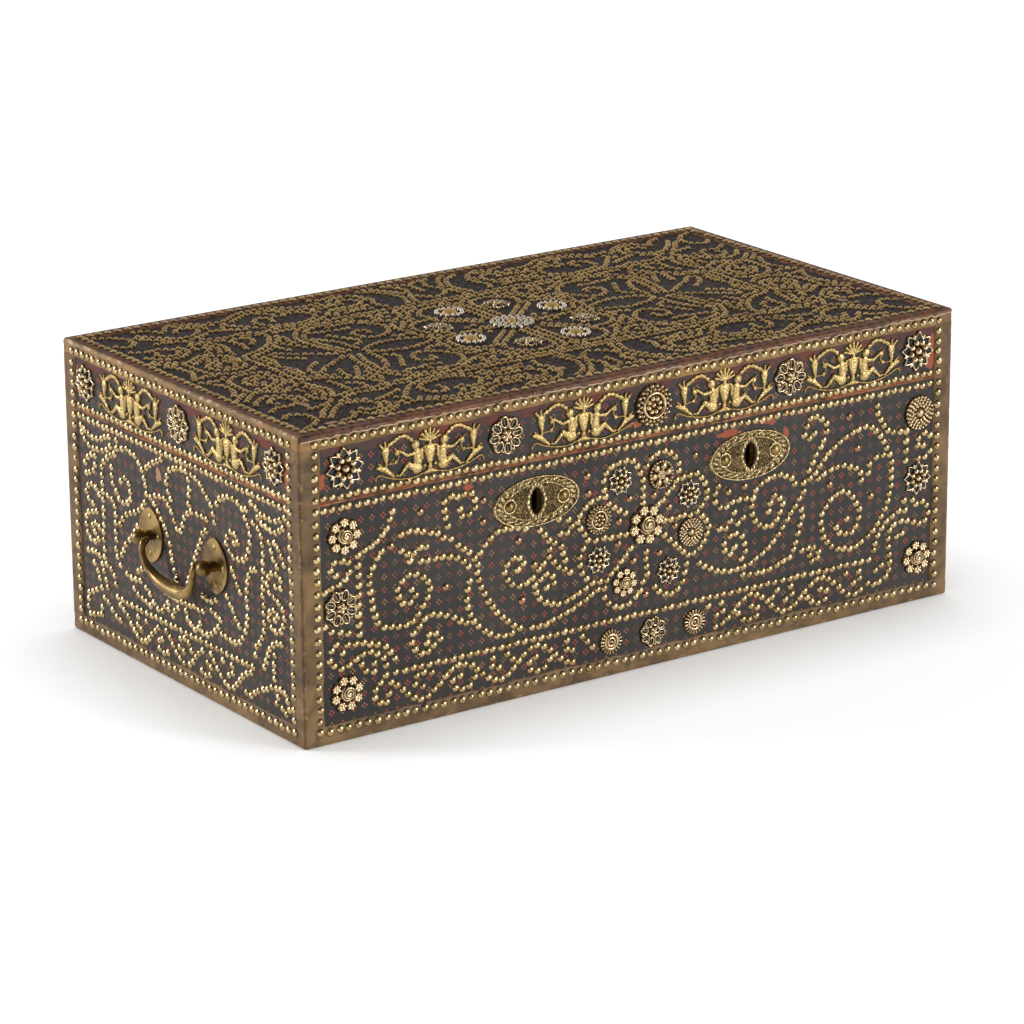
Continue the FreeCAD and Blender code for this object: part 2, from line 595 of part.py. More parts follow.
def lock_staple(x):
    """(staple, its plate's recess, screws) on the lid above the lock at x."""
    staple_x = x + STAPLE_X
    x0, x1 = staple_x - STAPLE_PLATE_L / 2, staple_x + STAPLE_PLATE_L / 2
    y0, y1 = case_y - STAPLE_PLATE_W / 2, case_y + STAPLE_PLATE_W / 2
    plate = box(x0, x1, y0, y1, lid_z, lid_z + STAPLE_PLATE_T)
    half_eye_h, half_eye_w = TONGUE_H / 2 + STAPLE_CLEARANCE, TONGUE_T / 2 + EYE_CLEARANCE
    left, right = staple_x - STAPLE_T / 2, staple_x + STAPLE_T / 2
    foot = bolt_z - half_eye_h - STAPLE_T / 2
    loop = box(left, right, case_y - STAPLE_W / 2, case_y + STAPLE_W / 2, foot, lid_z)
    eye = box(left, right, case_y - half_eye_w, case_y + half_eye_w, bolt_z - half_eye_h, bolt_z + half_eye_h)
    staple = joined([plate, loop.cut(eye)])
    screws = []
    for screw_x in (staple_x - STAPLE_SCREW_X, staple_x + STAPLE_SCREW_X):
        mouth = Vector(screw_x, case_y, lid_z)
        staple = staple.cut(countersink(mouth, STAPLE_PLATE_T, 1))
        screws.append(flush_screw(mouth, STAPLE_PLATE_T, 1))
    return staple, plate, screws


def make_locks():
    case_screws, staple_screws = [], []
    for side, x in zip(("left", "right"), lock_xs):
        nodes[side + "_lock_case"], pocket, screws = lock_case(x)
        case_screws += screws
        keyhole = slot(KEYHOLE_W, KEYHOLE_H, -half_depth, case_y0, x, keyhole_z)
        nodes["front_board"] = nodes["front_board"].cut(pocket).cut(keyhole)
        nodes["front_leather"] = nodes["front_leather"].cut(keyhole)
        nodes["base_rim_strip"] = nodes["base_rim_strip"].cut(pocket)
        nodes[side + "_lock_bolt"] = lock_bolt(x)
        nodes[side + "_lock_staple"], recess, screws = lock_staple(x)
        staple_screws += screws
        for name in ("lid_front_rail", "lid_rim_strip"):
            nodes[name] = nodes[name].cut(recess)
    nodes["lock_case_screws"] = Part.makeCompound(case_screws)
    nodes["lock_staple_screws"] = Part.makeCompound(staple_screws)


def cheese_screw(x, y, z):
    """A round-headed screw driven towards -Y, its head standing on the plane at y."""
    head = rod(SCREW_HEAD_R, (x, y, z), (x, y + SCREW_HEAD_T, z))
    shank = rod(SCREW_R, (x, y, z), (x, y - SCREW_LENGTH, z))
    return joined([head, shank])


# Escutcheons over the keyholes
def oval(length, height, z0, z1):
    """An elliptical plate lying on the XY plane."""
    edge = Part.Ellipse(Vector(0, 0, z0), length / 2, height / 2).toShape()
    return Part.Face(Part.Wire([edge])).extrude(Vector(0, 0, z1 - z0))


def make_escutcheons():
    rim_top = ESCUTCHEON_T + ESCUTCHEON_RIM_RISE
    plate = oval(ESCUTCHEON_L, ESCUTCHEON_H, 0, rim_top)
    sunk_l, sunk_h = ESCUTCHEON_L - 2 * ESCUTCHEON_RIM_W, ESCUTCHEON_H - 2 * ESCUTCHEON_RIM_W
    plate = plate.cut(oval(sunk_l, sunk_h, ESCUTCHEON_T, rim_top))
    straight = KEYHOLE_H / 2 - KEYHOLE_W / 2
    hole = [box(-KEYHOLE_W / 2, KEYHOLE_W / 2, -straight, straight, 0, rim_top)]
    hole += [rod(KEYHOLE_W / 2, (0, s * straight, 0), (0, s * straight, rim_top)) for s in (-1, 1)]
    plate = plate.cut(joined(hole))
    nail = dome(ESCUTCHEON_NAIL_R, ESCUTCHEON_NAIL_RISE, STUD_SHANK_R, ESCUTCHEON_T + nail_length)
    nails = []
    for nail_x in (-ESCUTCHEON_NAIL_X, ESCUTCHEON_NAIL_X):
        plate = plate.cut(rod(STUD_SHANK_R + SCREW_CLEARANCE, (nail_x, 0, 0), (nail_x, 0, ESCUTCHEON_T)))
    for side, x in zip(("left", "right"), lock_xs):
        nodes[side + "_escutcheon"] = FRONT.place(plate, half_length + x, keyhole_z)
        for nail_x in (-ESCUTCHEON_NAIL_X, ESCUTCHEON_NAIL_X):
            nails.append(FRONT.place(nail, half_length + x + nail_x, keyhole_z, ESCUTCHEON_T))
    nodes["escutcheon_nails"] = Part.makeCompound(nails)


# Bail handles: two plates with posts, a bail that swings in them, and rivets
def handle_plate():
    """A pointed oval plate with a bulb-ended post, lying on the XY plane with its long axis along Y."""
    top, side = Vector(0, HANDLE_PLATE_H / 2, 0), Vector(HANDLE_PLATE_W / 2, 0, 0)
    right, left = Part.Arc(top, side, top * -1), Part.Arc(top * -1, side * -1, top)
    outline = Part.Wire([right.toShape(), left.toShape()])
    plate = Part.Face(outline).extrude(Vector(0, 0, HANDLE_PLATE_T))
    axis_z = HANDLE_PLATE_T + POST_REACH
    neck = rod(POST_NECK_R, (0, 0, HANDLE_PLATE_T / 2), (0, 0, axis_z))
    bulb = Part.makeSphere(POST_BULB_R, Vector(0, 0, axis_z))
    made = joined([plate, neck, bulb])
    bore_r = BAIL_PIN_R + BAIL_PIN_CLEARANCE
    made = made.cut(rod(bore_r, (-2 * POST_BULB_R, 0, axis_z), (2 * POST_BULB_R, 0, axis_z)))
    for x, y in rivet_points():
        made = made.cut(rod(SCREW_R + SCREW_CLEARANCE, (x, y, 0), (x, y, HANDLE_PLATE_T)))
    return made


def rivet_points():
    up, side = HANDLE_RIVET_UP, HANDLE_RIVET_SIDE
    return ((0, up), (-side, 0), (side, 0), (0, -up))


def bail():
    """The bail hanging along -Y from its pivot line, the X axis, leaning to -Z, its arms bowed to +Z."""
    elbow = HANDLE_SPACING / 2 - POST_BULB_R - BAIL_SIDE_GAP - BAIL_KNOB_R
    power = 2 / BAIL_SQUARENESS
    rings = []
    for i in range(BAIL_STATIONS):
        t = math.pi * i / (BAIL_STATIONS - 1)
        c, s = math.cos(t), math.sin(t)
        bulge = BAIL_BULGE * math.sin(math.pi * math.sqrt(abs(s)))
        centre = Vector(elbow * math.copysign(abs(c) ** power, c), -BAIL_DROP * abs(s) ** power, bulge)
        radius = BAIL_END_R + (BAIL_GRIP_R - BAIL_END_R) * s**4
        rings.append((centre, radius))
    wires = []
    for i, (centre, radius) in enumerate(rings):
        before, after = rings[max(i - 1, 0)][0], rings[min(i + 1, BAIL_STATIONS - 1)][0]
        circle = Part.Circle(centre, after - before, radius)
        circle.XAxis = Vector(0, 0, 1)
        wires.append(Part.Wire([circle.toShape()]))
    pieces = [Part.makeLoft(wires, True, False)]
    tail = HANDLE_SPACING / 2 + POST_BULB_R - BAIL_PIN_SHORT
    for sign in (-1, 1):
        pieces.append(Part.makeSphere(BAIL_KNOB_R, Vector(sign * elbow, 0, 0)))
        pieces.append(rod(BAIL_PIN_R, (sign * elbow, 0, 0), (sign * tail, 0, 0)))
    loop = joined(pieces)
    loop.rotate(Vector(0, 0, 0), Vector(1, 0, 0), BAIL_LEAN)
    return loop


def make_handles():
    plate, loop = handle_plate(), bail()
    rivet = dome(HANDLE_RIVET_R, HANDLE_RIVET_RISE, SCREW_R, SCREW_LENGTH)
    rivets = []
    middles = {"left": half_depth + HANDLE_FORWARD, "right": half_depth - HANDLE_FORWARD}
    for name, side in (("left", LEFT), ("right", RIGHT)):
        for end, y in zip(("front", "rear"), post_ys):
            u = half_depth - y if name == "left" else half_depth + y
            nodes[name + "_handle_" + end + "_plate"] = side.place(plate, u, handle_z)
            rivets += [side.place(rivet, u + x, handle_z + v, HANDLE_PLATE_T) for x, v in rivet_points()]
        nodes[name + "_bail"] = side.place(loop, middles[name], handle_z, HANDLE_PLATE_T + POST_REACH)
    nodes["handle_rivets"] = Part.makeCompound(rivets)


# Studs: border rows and main scrolls
def spread(start, end, pitch):
    """Evenly spaced values from start to end, both included, about pitch apart."""
    count = max(1, round((end - start) / pitch))
    return [start + (end - start) * i / count for i in range(count + 1)]


def beside_hinge(side, u):
    """Whether a stud at u on the back would foul a hinge barrel."""
    reach = HINGE_LENGTH / 2 + HINGE_BARREL_R + STUD_R
    return side is BACK and any(abs(half_length - u - x) < reach for x in hinge_xs)


def side_studs(side, width):
    """(base studs, lid studs) of an upright side that is width wide."""
    stud = dome(STUD_R, STUD_RISE, STUD_SHANK_R, nail_length)
    last = width - COLUMN_INSET
    base_row, lid_row = rim_z - BASE_ROW_DROP, lid_z + LID_ROW_RISE
    lid_top_row = TRUNK_HEIGHT - LID_TOP_ROW_DROP
    base, lid = [], []
    for u in spread(COLUMN_INSET, last, BORDER_PITCH):
        base.append(side.place(stud, u, BOTTOM_ROW_Z, BINDING_T))
        lid.append(side.place(stud, u, lid_top_row, BINDING_T))
    panel_edge = CORNER_BINDING_W + STUD_R
    for u in spread(panel_edge, width - panel_edge, SEAM_PITCH):
        if not beside_hinge(side, u):
            base.append(side.place(stud, u, base_row))
            lid.append(side.place(stud, u, lid_row))
    for u in (COLUMN_INSET, last):
        base += [side.place(stud, u, v, BINDING_T) for v in spread(BOTTOM_ROW_Z, base_row, COLUMN_PITCH)[1:]]
        lid += [side.place(stud, u, v, BINDING_T) for v in spread(lid_row, lid_top_row, COLUMN_PITCH)[:-1]]
    return base, lid


def evenly(points, pitch):
    """Places at least pitch apart along a smooth line through points, both ends included."""
    line = Part.BSplineCurve()
    line.interpolate([Vector(u, v, 0) for u, v in points])
    count = max(2, int(line.length() / pitch) + 1)
    return [(place.x, place.y) for place in line.discretize(Number=count)]


def disc_under(side, solid):
    """(u, v, radius) of the disc that a round solid covers on the front or the top."""
    offset = solid.BoundBox.Center - side.corner
    return offset.dot(side.right), offset.dot(side.up), solid.BoundBox.XLength / 2


def scroll_studs(side, lines, taken):
    """Heads of small studs along lines of places, except where they would touch what is already there."""
    stud = domed(SCROLL_STUD_R, SCROLL_STUD_RISE, [(0, 0)])
    reach = SCROLL_STUD_R + SCROLL_CLEARANCE
    made = []
    for line in lines:
        for u, v in evenly(line, SCROLL_PITCH):
            if all(math.hypot(u - a, v - b) > radius + reach for a, b, radius in taken):
                made.append(side.place(stud, u, v))
                taken.append((u, v, SCROLL_STUD_R))
    return made


def front_scroll_studs(border):
    """Studs of the front's scrolls, stretched to this trunk, clear of border, rosettes and escutcheons."""
    taken = [disc_under(FRONT, solid) for solid in border + nodes["base_rosettes"].Solids]
    for x in lock_xs:
        for share in (-0.75, -0.5, -0.25, 0, 0.25, 0.5, 0.75):
            u = half_length + x + share * ESCUTCHEON_L / 2
            taken.append((u, keyhole_z, math.sqrt(1 - share**2) * ESCUTCHEON_H / 2))
    stretch_u, stretch_v = TRUNK_LENGTH / DRAWN_LENGTH, rim_z / DRAWN_RIM_Z
    lines = [[(u * stretch_u, v * stretch_v) for u, v in points] for points in FRONT_SCROLLS]
    return scroll_studs(FRONT, lines, taken)


def top_scroll_studs(border):
    """Studs of the top's scrolls, stretched to this trunk, clear of the border and the rosettes."""
    taken = [disc_under(TOP, solid) for solid in border + nodes["lid_top_rosettes"].Solids]
    stretch_u, stretch_v = TRUNK_LENGTH / DRAWN_LENGTH, TRUNK_DEPTH / DRAWN_DEPTH
    lines = []
    for points in TOP_SCROLLS:
        quarter = [(u * stretch_u, v * stretch_v) for u, v in points]
        half = [quarter, [(TRUNK_LENGTH - u, v) for u, v in quarter]]
        lines += half + [[(u, TRUNK_DEPTH - v) for u, v in line] for line in half]
    return scroll_studs(TOP, lines, taken)


def make_studs():
    """Every stud; the rosettes are already made."""
    stud = dome(STUD_R, STUD_RISE, STUD_SHANK_R, nail_length)
    lid = []
    sides = {"front": FRONT, "back": BACK, "left": LEFT, "right": RIGHT}
    for name, side in sides.items():
        width = TRUNK_LENGTH if name in ("front", "back") else TRUNK_DEPTH
        base_studs, lid_studs = side_studs(side, width)
        if name == "front":
            row = spread(PANEL_ROW_INSET, TRUNK_LENGTH - PANEL_ROW_INSET, SEAM_PITCH)
            base_studs += [side.place(stud, u, PANEL_ROW_Z) for u in row]
            base_studs += front_scroll_studs(base_studs)
        nodes[name + "_studs"] = Part.makeCompound(base_studs)
        lid += lid_studs
    far_u, far_v = TRUNK_LENGTH - TOP_ROW_INSET, TRUNK_DEPTH - TOP_ROW_INSET
    top = []
    for u in spread(TOP_ROW_INSET, far_u, BORDER_PITCH):
        top += [TOP.place(stud, u, v, BINDING_T) for v in (TOP_ROW_INSET, far_v)]
    for v in spread(TOP_ROW_INSET, far_v, BORDER_PITCH)[1:-1]:
        top += [TOP.place(stud, u, v, BINDING_T) for u in (TOP_ROW_INSET, far_u)]
    top += top_scroll_studs(top)
    nodes["lid_studs"] = Part.makeCompound(lid + top)


# Pressed brass rosettes and plaques
def rosette(radius):
    """A petalled disc with a dome in the middle, lying on the XY plane."""
    petal_r = radius * math.sin(math.pi / ROSETTE_PETALS) / (1 + math.sin(math.pi / ROSETTE_PETALS))
    reach = radius - petal_r
    pieces = [rod(reach, (0, 0, 0), (0, 0, PRESSED_T))]
    for i in range(ROSETTE_PETALS):
        angle = 2 * math.pi * i / ROSETTE_PETALS
        x, y = reach * math.cos(angle), reach * math.sin(angle)
        pieces.append(rod(petal_r, (x, y, 0), (x, y, PRESSED_T)))
    boss_r = radius * 0.4
    ball_r = (boss_r**2 + ROSETTE_DOME_RISE**2) / (2 * ROSETTE_DOME_RISE)
    ball = Part.makeSphere(ball_r, Vector(0, 0, PRESSED_T + ROSETTE_DOME_RISE - ball_r))
    cap = ball.common(rod(ball_r, (0, 0, PRESSED_T / 2), (0, 0, PRESSED_T + ROSETTE_DOME_RISE)))
    return joined(pieces + [cap])


def plaque():
    """A plaque with a boat-shaped foot and a curved top, lying on the XY plane, its long axis along X."""
    x, y = PLAQUE_LENGTH / 2, PLAQUE_HEIGHT / 2
    left_low, foot, right_low = Vector(-x, -y / 2, 0), Vector(0, -y, 0), Vector(x, -y / 2, 0)
    left_high, right_high = Vector(-0.8 * x, 0.75 * y, 0), Vector(0.8 * x, 0.75 * y, 0)
    outline = Part.Wire([
        Part.Arc(left_low, foot, right_low).toShape(),
        Part.makeLine(right_low, right_high),
        Part.Arc(right_high, Vector(0, y, 0), left_high).toShape(),
        Part.makeLine(left_high, left_low),
    ])
    return Part.Face(outline).extrude(Vector(0, 0, PRESSED_T))


def ring(side, shape, count, radius, u, v):
    """Copies of a shape around a point, none of them straight above it."""
    angles = [2 * math.pi * (i + 0.5) / count for i in range(count)]
    return [side.place(shape, u + radius * math.cos(a), v + radius * math.sin(a)) for a in angles]


def make_front_ornaments():
    edge, small, sun = rosette(EDGE_ROSETTE_R), rosette(SMALL_ROSETTE_R), rosette(SUN_ROSETTE_R)
    made = []
    for u in (ROSETTE_INSET, TRUNK_LENGTH - RIGHT_ROSETTE_INSET):
        made += [FRONT.place(edge, u, rim_z - UPPER_ROSETTE_DROP), FRONT.place(edge, u, LOWER_ROSETTE_Z)]
    for u in (MIDDLE_ROSETTE_INSET, TRUNK_LENGTH - MIDDLE_ROSETTE_INSET):
        made.append(FRONT.place(edge, u, middle_rosette_z))
    u = half_length + CLUSTER_SHIFT
    made.append(FRONT.place(rosette(BIG_ROSETTE_R), u, cluster_z))
    made += [FRONT.place(small, u + across, cluster_z + up) for across, up in CLUSTER_SPOTS]
    u += SUN_SHIFT
    made.append(FRONT.place(rosette(FLOWER_ROSETTE_R), u, SUN_ROSETTE_Z))
    made += [FRONT.place(sun, u + s * SUN_SPACING, SUN_ROSETTE_Z) for s in (-1, 1)]
    nodes["base_rosettes"] = Part.makeCompound(made)


def make_lid_ornaments():
    large, small, panel = rosette(LID_ROSETTE_R), rosette(LID_SMALL_ROSETTE_R), plaque()
    flowers, plaques = [], []
    for i, share in enumerate(LID_FRONT_ROSETTES):
        flowers.append(FRONT.place(large if i % 2 == 0 else small, share * TRUNK_LENGTH, ornament_z))
    plaques += [FRONT.place(panel, share * TRUNK_LENGTH, ornament_z) for share in LID_FRONT_PLAQUES]
    for shares, shape, made in ((LID_END_ROSETTES, small, flowers), (LID_END_PLAQUES, panel, plaques)):
        for share in shares:
            made.append(LEFT.place(shape, share * TRUNK_DEPTH, ornament_z))
            made.append(RIGHT.place(shape, (1 - share) * TRUNK_DEPTH, ornament_z))
    nodes["lid_rosettes"] = Part.makeCompound(flowers)
    nodes["lid_plaques"] = Part.makeCompound(plaques)
    top = [TOP.place(rosette(TOP_CENTRE_ROSETTE_R), half_length, half_depth)]
    top += ring(TOP, rosette(TOP_RING_ROSETTE_R), TOP_RING_COUNT, TOP_RING_R, half_length, half_depth)
    nodes["lid_top_rosettes"] = Part.makeCompound(top)


make_boards()
make_panels()
make_bindings()
make_hinges()
make_locks()
make_escutcheons()
make_handles()
make_front_ornaments()
make_lid_ornaments()
make_studs()

for name, shape in nodes.items():
    shape.exportStep("parts/" + name + ".step")
print(len(nodes), "nodes,", sum(len(shape.Solids) for shape in nodes.values()), "solids")
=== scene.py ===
"""Looks of a leather-covered trunk with brass studs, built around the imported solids.

X runs along the front, the front faces -Y, Z is up, the origin is under the middle of the trunk.
Sizes and drawn points are in millimetres, and are turned into metres when a mesh is made.
"""

import json
import math

import bpy
import numpy as np
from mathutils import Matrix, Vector


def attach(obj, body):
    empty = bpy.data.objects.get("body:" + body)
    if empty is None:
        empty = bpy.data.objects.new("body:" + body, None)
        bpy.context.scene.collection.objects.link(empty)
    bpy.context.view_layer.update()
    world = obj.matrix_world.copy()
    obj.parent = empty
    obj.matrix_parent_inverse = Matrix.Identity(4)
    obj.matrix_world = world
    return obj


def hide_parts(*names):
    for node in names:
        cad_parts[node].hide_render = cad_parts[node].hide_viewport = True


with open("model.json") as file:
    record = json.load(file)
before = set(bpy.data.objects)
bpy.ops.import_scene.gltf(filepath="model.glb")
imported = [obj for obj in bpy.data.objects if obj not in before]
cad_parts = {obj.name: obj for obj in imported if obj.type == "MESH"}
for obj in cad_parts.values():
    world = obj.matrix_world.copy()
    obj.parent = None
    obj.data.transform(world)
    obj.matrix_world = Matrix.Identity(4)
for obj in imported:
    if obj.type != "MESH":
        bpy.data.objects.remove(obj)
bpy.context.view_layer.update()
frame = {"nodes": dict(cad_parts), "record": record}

MM = 0.001

# Sizes shared with the solids
LENGTH = 750.0
DEPTH = 420.0
HEIGHT = 292.0
LID_HEIGHT = 66.0
SEAM_GAP = 0.5
BINDING_T = 1.5
RIM_STRIP_T = 1.2
CORNER_BINDING_W = 22.0
BOTTOM_BINDING_H = 18.0
BOTTOM_BINDING_UNDER = 24.0
TOP_BINDING_DROP = 15.0
TOP_BINDING_W = 18.0
EDGE_ROUND = 3.0
STUD_R = 4.0
STUD_RISE = 2.0
BORDER_PITCH = 10.3
SEAM_PITCH = 8.9
COLUMN_PITCH = 11.0
COLUMN_INSET = 17.0
BOTTOM_ROW_Z = 13.0
BASE_ROW_DROP = 6.0
LID_ROW_RISE = 4.2
LID_TOP_ROW_DROP = 9.5
TOP_ROW_INSET = 12.5
PANEL_ROW_Z = 54.0
PANEL_ROW_INSET = 100.0
HINGE_SPACING = 400.0
HINGE_LENGTH = 70.0
LOCK_SPACING = 247.0
LOCK_SHIFT = 3.5
KEYHOLE_Z = 187.0
ESCUTCHEON_L = 97.0
ESCUTCHEON_H = 48.0
ESCUTCHEON_NAIL_X = 30.0
HANDLE_Z = 135.0
HANDLE_SPACING = 116.0
HANDLE_FORWARD = 4.0
HANDLE_PLATE_H = 54.0
BIG_ROSETTE_R = 20.0
EDGE_ROSETTE_R = 17.5
FLOWER_ROSETTE_R = 15.0
SUN_ROSETTE_R = 12.5
ROSETTE_INSET = 46.0
RIGHT_ROSETTE_INSET = 40.0
UPPER_ROSETTE_DROP = 33.0
LOWER_ROSETTE_Z = 45.0
MIDDLE_ROSETTE_Z = 127.0
MIDDLE_ROSETTE_INSET = 41.0
SUN_ROSETTE_Z = 34.0
SUN_SPACING = 49.0
SUN_SHIFT = 8.0
CLUSTER_SHIFT = 5.0
CLUSTER_Z = 141.0
CLUSTER_SPOTS = ((50, 21), (17, 46), (-30, 48), (-55, 15), (-55, -24), (-25, -52), (26, -50), (52, -17))
LID_ROSETTE_R = 20.5
LID_SMALL_ROSETTE_R = 18.5
PLAQUE_LENGTH = 117.0
ORNAMENT_RISE = 29.3
TOP_RING_R = 72.0
TOP_RING_COUNT = 8
TOP_RING_ROSETTE_R = 15.0
LID_FRONT_ROSETTES = (0.064, 0.295, 0.517, 0.732, 0.941)
LID_FRONT_PLAQUES = (0.185, 0.411, 0.628, 0.835)
LID_END_ROSETTES = (0.098, 0.507, 0.9)
LID_END_PLAQUES = (0.298, 0.71)

# Sizes of the looks alone
SCROLL_STUD_R = 4.0
SCROLL_STUD_RISE = 2.0
SCROLL_PITCH = 8.1
TOP_STUD_R = 3.3
TOP_STUD_RISE = 2.3
TOP_PITCH = 7.2
SIDE_STUD_R = 4.4
SIDE_STUD_RISE = 2.2
SIDE_PITCH = 9.7
HINGE_CLEAR = 8.5
STUD_STRAY = 0.4
STUD_SIZE_SPREAD = 0.05
STUD_TONE_SPREAD = 0.22
STUD_OVERLAP = 0.3
STUD_SEGMENTS = 12
STUD_RINGS = 3
COPPER_STUD_R = 1.08 * SCROLL_STUD_R
DOUBLE_ROW_PITCH = 1.15 * TOP_PITCH
CLUSTER_ROSETTE_R = 14.3
TOP_CENTRE_ROSETTE_R = 22.0
ROSETTE_RINGS = 30
ROSETTE_SEGMENTS = 144
RELIEF_CELL = 0.5
PLAQUE_WEIGHT = 1.1
PLAQUE_MARGIN = 1.5
PLAQUE_BOTTOM = -23.0
PLAQUE_TOP = 25.0
GARLAND_PITCH = 2.4
GARLAND_R = (2.5, 1.7)
PLAQUE_LINE_PITCH = 3.0
PLAQUE_LINE_R = 0.9
KEYHOLE_HALF_W = 5.2
KEYHOLE_HALF_H = 11.5
PEARLS_HALF_W = 10.0
PEARLS_HALF_H = 17.0
NAIL_CUP_R = 8.0
RIM_EDGE_W = 13.0
LAP_DROP = 5.2
MAROON_EDGE_Z = (269.5, 270.8)
PRINT_PITCH = 11.7
PRINT_DOT_OUT = 0.18
PRINT_DOT_EDGE = (0.105, 0.06)

# Light: two broad lamps (where from, power), a dim room with a brighter backdrop, and in metres the floor,
# with a glow of its own that fades near the trunk
LAMPS = {"right": ((0.58, -0.79, 0.2), 2.1), "left": ((-0.74, 0.62, 0.26), 2.2)}
LAMP_SPREAD = 22
ROOM = 0.16
BACKDROP = 0.62
BACKDROP_TOWARDS = (0.57, 0.82, 0.0)
BACKDROP_EDGE = (-0.1, 0.6)
FLOOR_HALF = 6.0
FLOOR_COLOR = (0.85, 0.85, 0.85, 1.0)
FLOOR_GLOW = 0.66
CONTACT_SHADE = 0.14

# The camera that the photograph was taken with, solved on the trunk's corners
CAMERA_LENS = 149.93
CAMERA_SENSOR = 36.0
CAMERA_AZIMUTH = -34.818
CAMERA_ELEVATION = 17.499
CAMERA_ROLL = -0.446
CAMERA_DISTANCE = 4137.0
CAMERA_RIGHT = -1.05
CAMERA_UP = -43.0

half_length = LENGTH / 2
half_depth = DEPTH / 2
skin_x = half_length - BINDING_T
skin_y = half_depth - BINDING_T
rim_z = HEIGHT - LID_HEIGHT
lid_z = rim_z + SEAM_GAP
top_skin_z = HEIGHT - BINDING_T
base_row_z = rim_z - BASE_ROW_DROP
lid_row_z = lid_z + LID_ROW_RISE
lid_top_row_z = HEIGHT - LID_TOP_ROW_DROP
cluster_u = half_length + CLUSTER_SHIFT
ornament_z = lid_z + ORNAMENT_RISE
rng = np.random.default_rng(11)


# Faces of the trunk and meshes gathered on them
class Face:
    """One outer face. Seen from outside, u runs to the right and v up; lift is off its leather."""

    def __init__(self, corner, right, up, out):
        self.corner, self.right, self.up, self.out = (np.array(a, float) for a in (corner, right, up, out))

    def at(self, u, v, lift):
        """Points of the trunk from arrays of face coordinates."""
        u, v, lift = (np.asarray(a, float)[..., None] for a in np.broadcast_arrays(u, v, lift))
        return self.corner + u * self.right + v * self.up + lift * self.out


FRONT = Face((-half_length, -skin_y, 0), (1, 0, 0), (0, 0, 1), (0, -1, 0))
BACK = Face((half_length, skin_y, 0), (-1, 0, 0), (0, 0, 1), (0, 1, 0))
LEFT = Face((-skin_x, half_depth, 0), (0, -1, 0), (0, 0, 1), (-1, 0, 0))
RIGHT = Face((skin_x, -half_depth, 0), (0, 1, 0), (0, 0, 1), (1, 0, 0))
TOP = Face((-half_length, -half_depth, top_skin_z), (1, 0, 0), (0, 1, 0), (0, 0, 1))


class Gather:
    """Vertices, faces and per-vertex values of many small forms that become one piece."""

    def __init__(self):
        self.verts, self.faces, self.values, self.count = [], [], {}, 0

    def add(self, verts, faces, **values):
        verts = np.asarray(verts, float).reshape(-1, 3)
        self.verts.append(verts)
        self.faces += [[i + self.count for i in face] for face in faces]
        for key, value in values.items():
            filled = np.broadcast_to(np.asarray(value, float).reshape(-1), (len(verts),))
            self.values.setdefault(key, []).append(filled)
        self.count += len(verts)

    def piece(self, name, material, body, slot, *replaced):
        mesh = bpy.data.meshes.new(name)
        mesh.from_pydata((np.concatenate(self.verts) * MM).tolist(), [], self.faces)
        for key, parts in self.values.items():
            layer = mesh.attributes.new(key, "FLOAT", "POINT")
            layer.data.foreach_set("value", np.concatenate(parts).astype(np.float32))
        mesh.materials.append(material)
        mesh.shade_smooth()
        obj = bpy.data.objects.new(name, mesh)
        bpy.context.scene.collection.objects.link(obj)
        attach(obj, body)
        if replaced:
            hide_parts(*replaced)
        return obj


def grid_faces(rows, columns, closed):
    """Quads of a grid of rows by columns, its columns joined into a loop if closed."""
    last = columns if closed else columns - 1
    faces = []
    for r in range(rows - 1):
        for c in range(last):
            n = (c + 1) % columns
            faces.append((r * columns + c, r * columns + n, (r + 1) * columns + n, (r + 1) * columns + c))
    return faces


# Materials
def srgb(red, green, blue):
    """A colour as it is written on screen, 0 to 255, in linear light."""
    shares = [c / 255 for c in (red, green, blue)]
    return [s / 12.92 if s <= 0.04045 else ((s + 0.055) / 1.055) ** 2.4 for s in shares] + [1.0]


BLUE_BLACK = srgb(46, 58, 66)


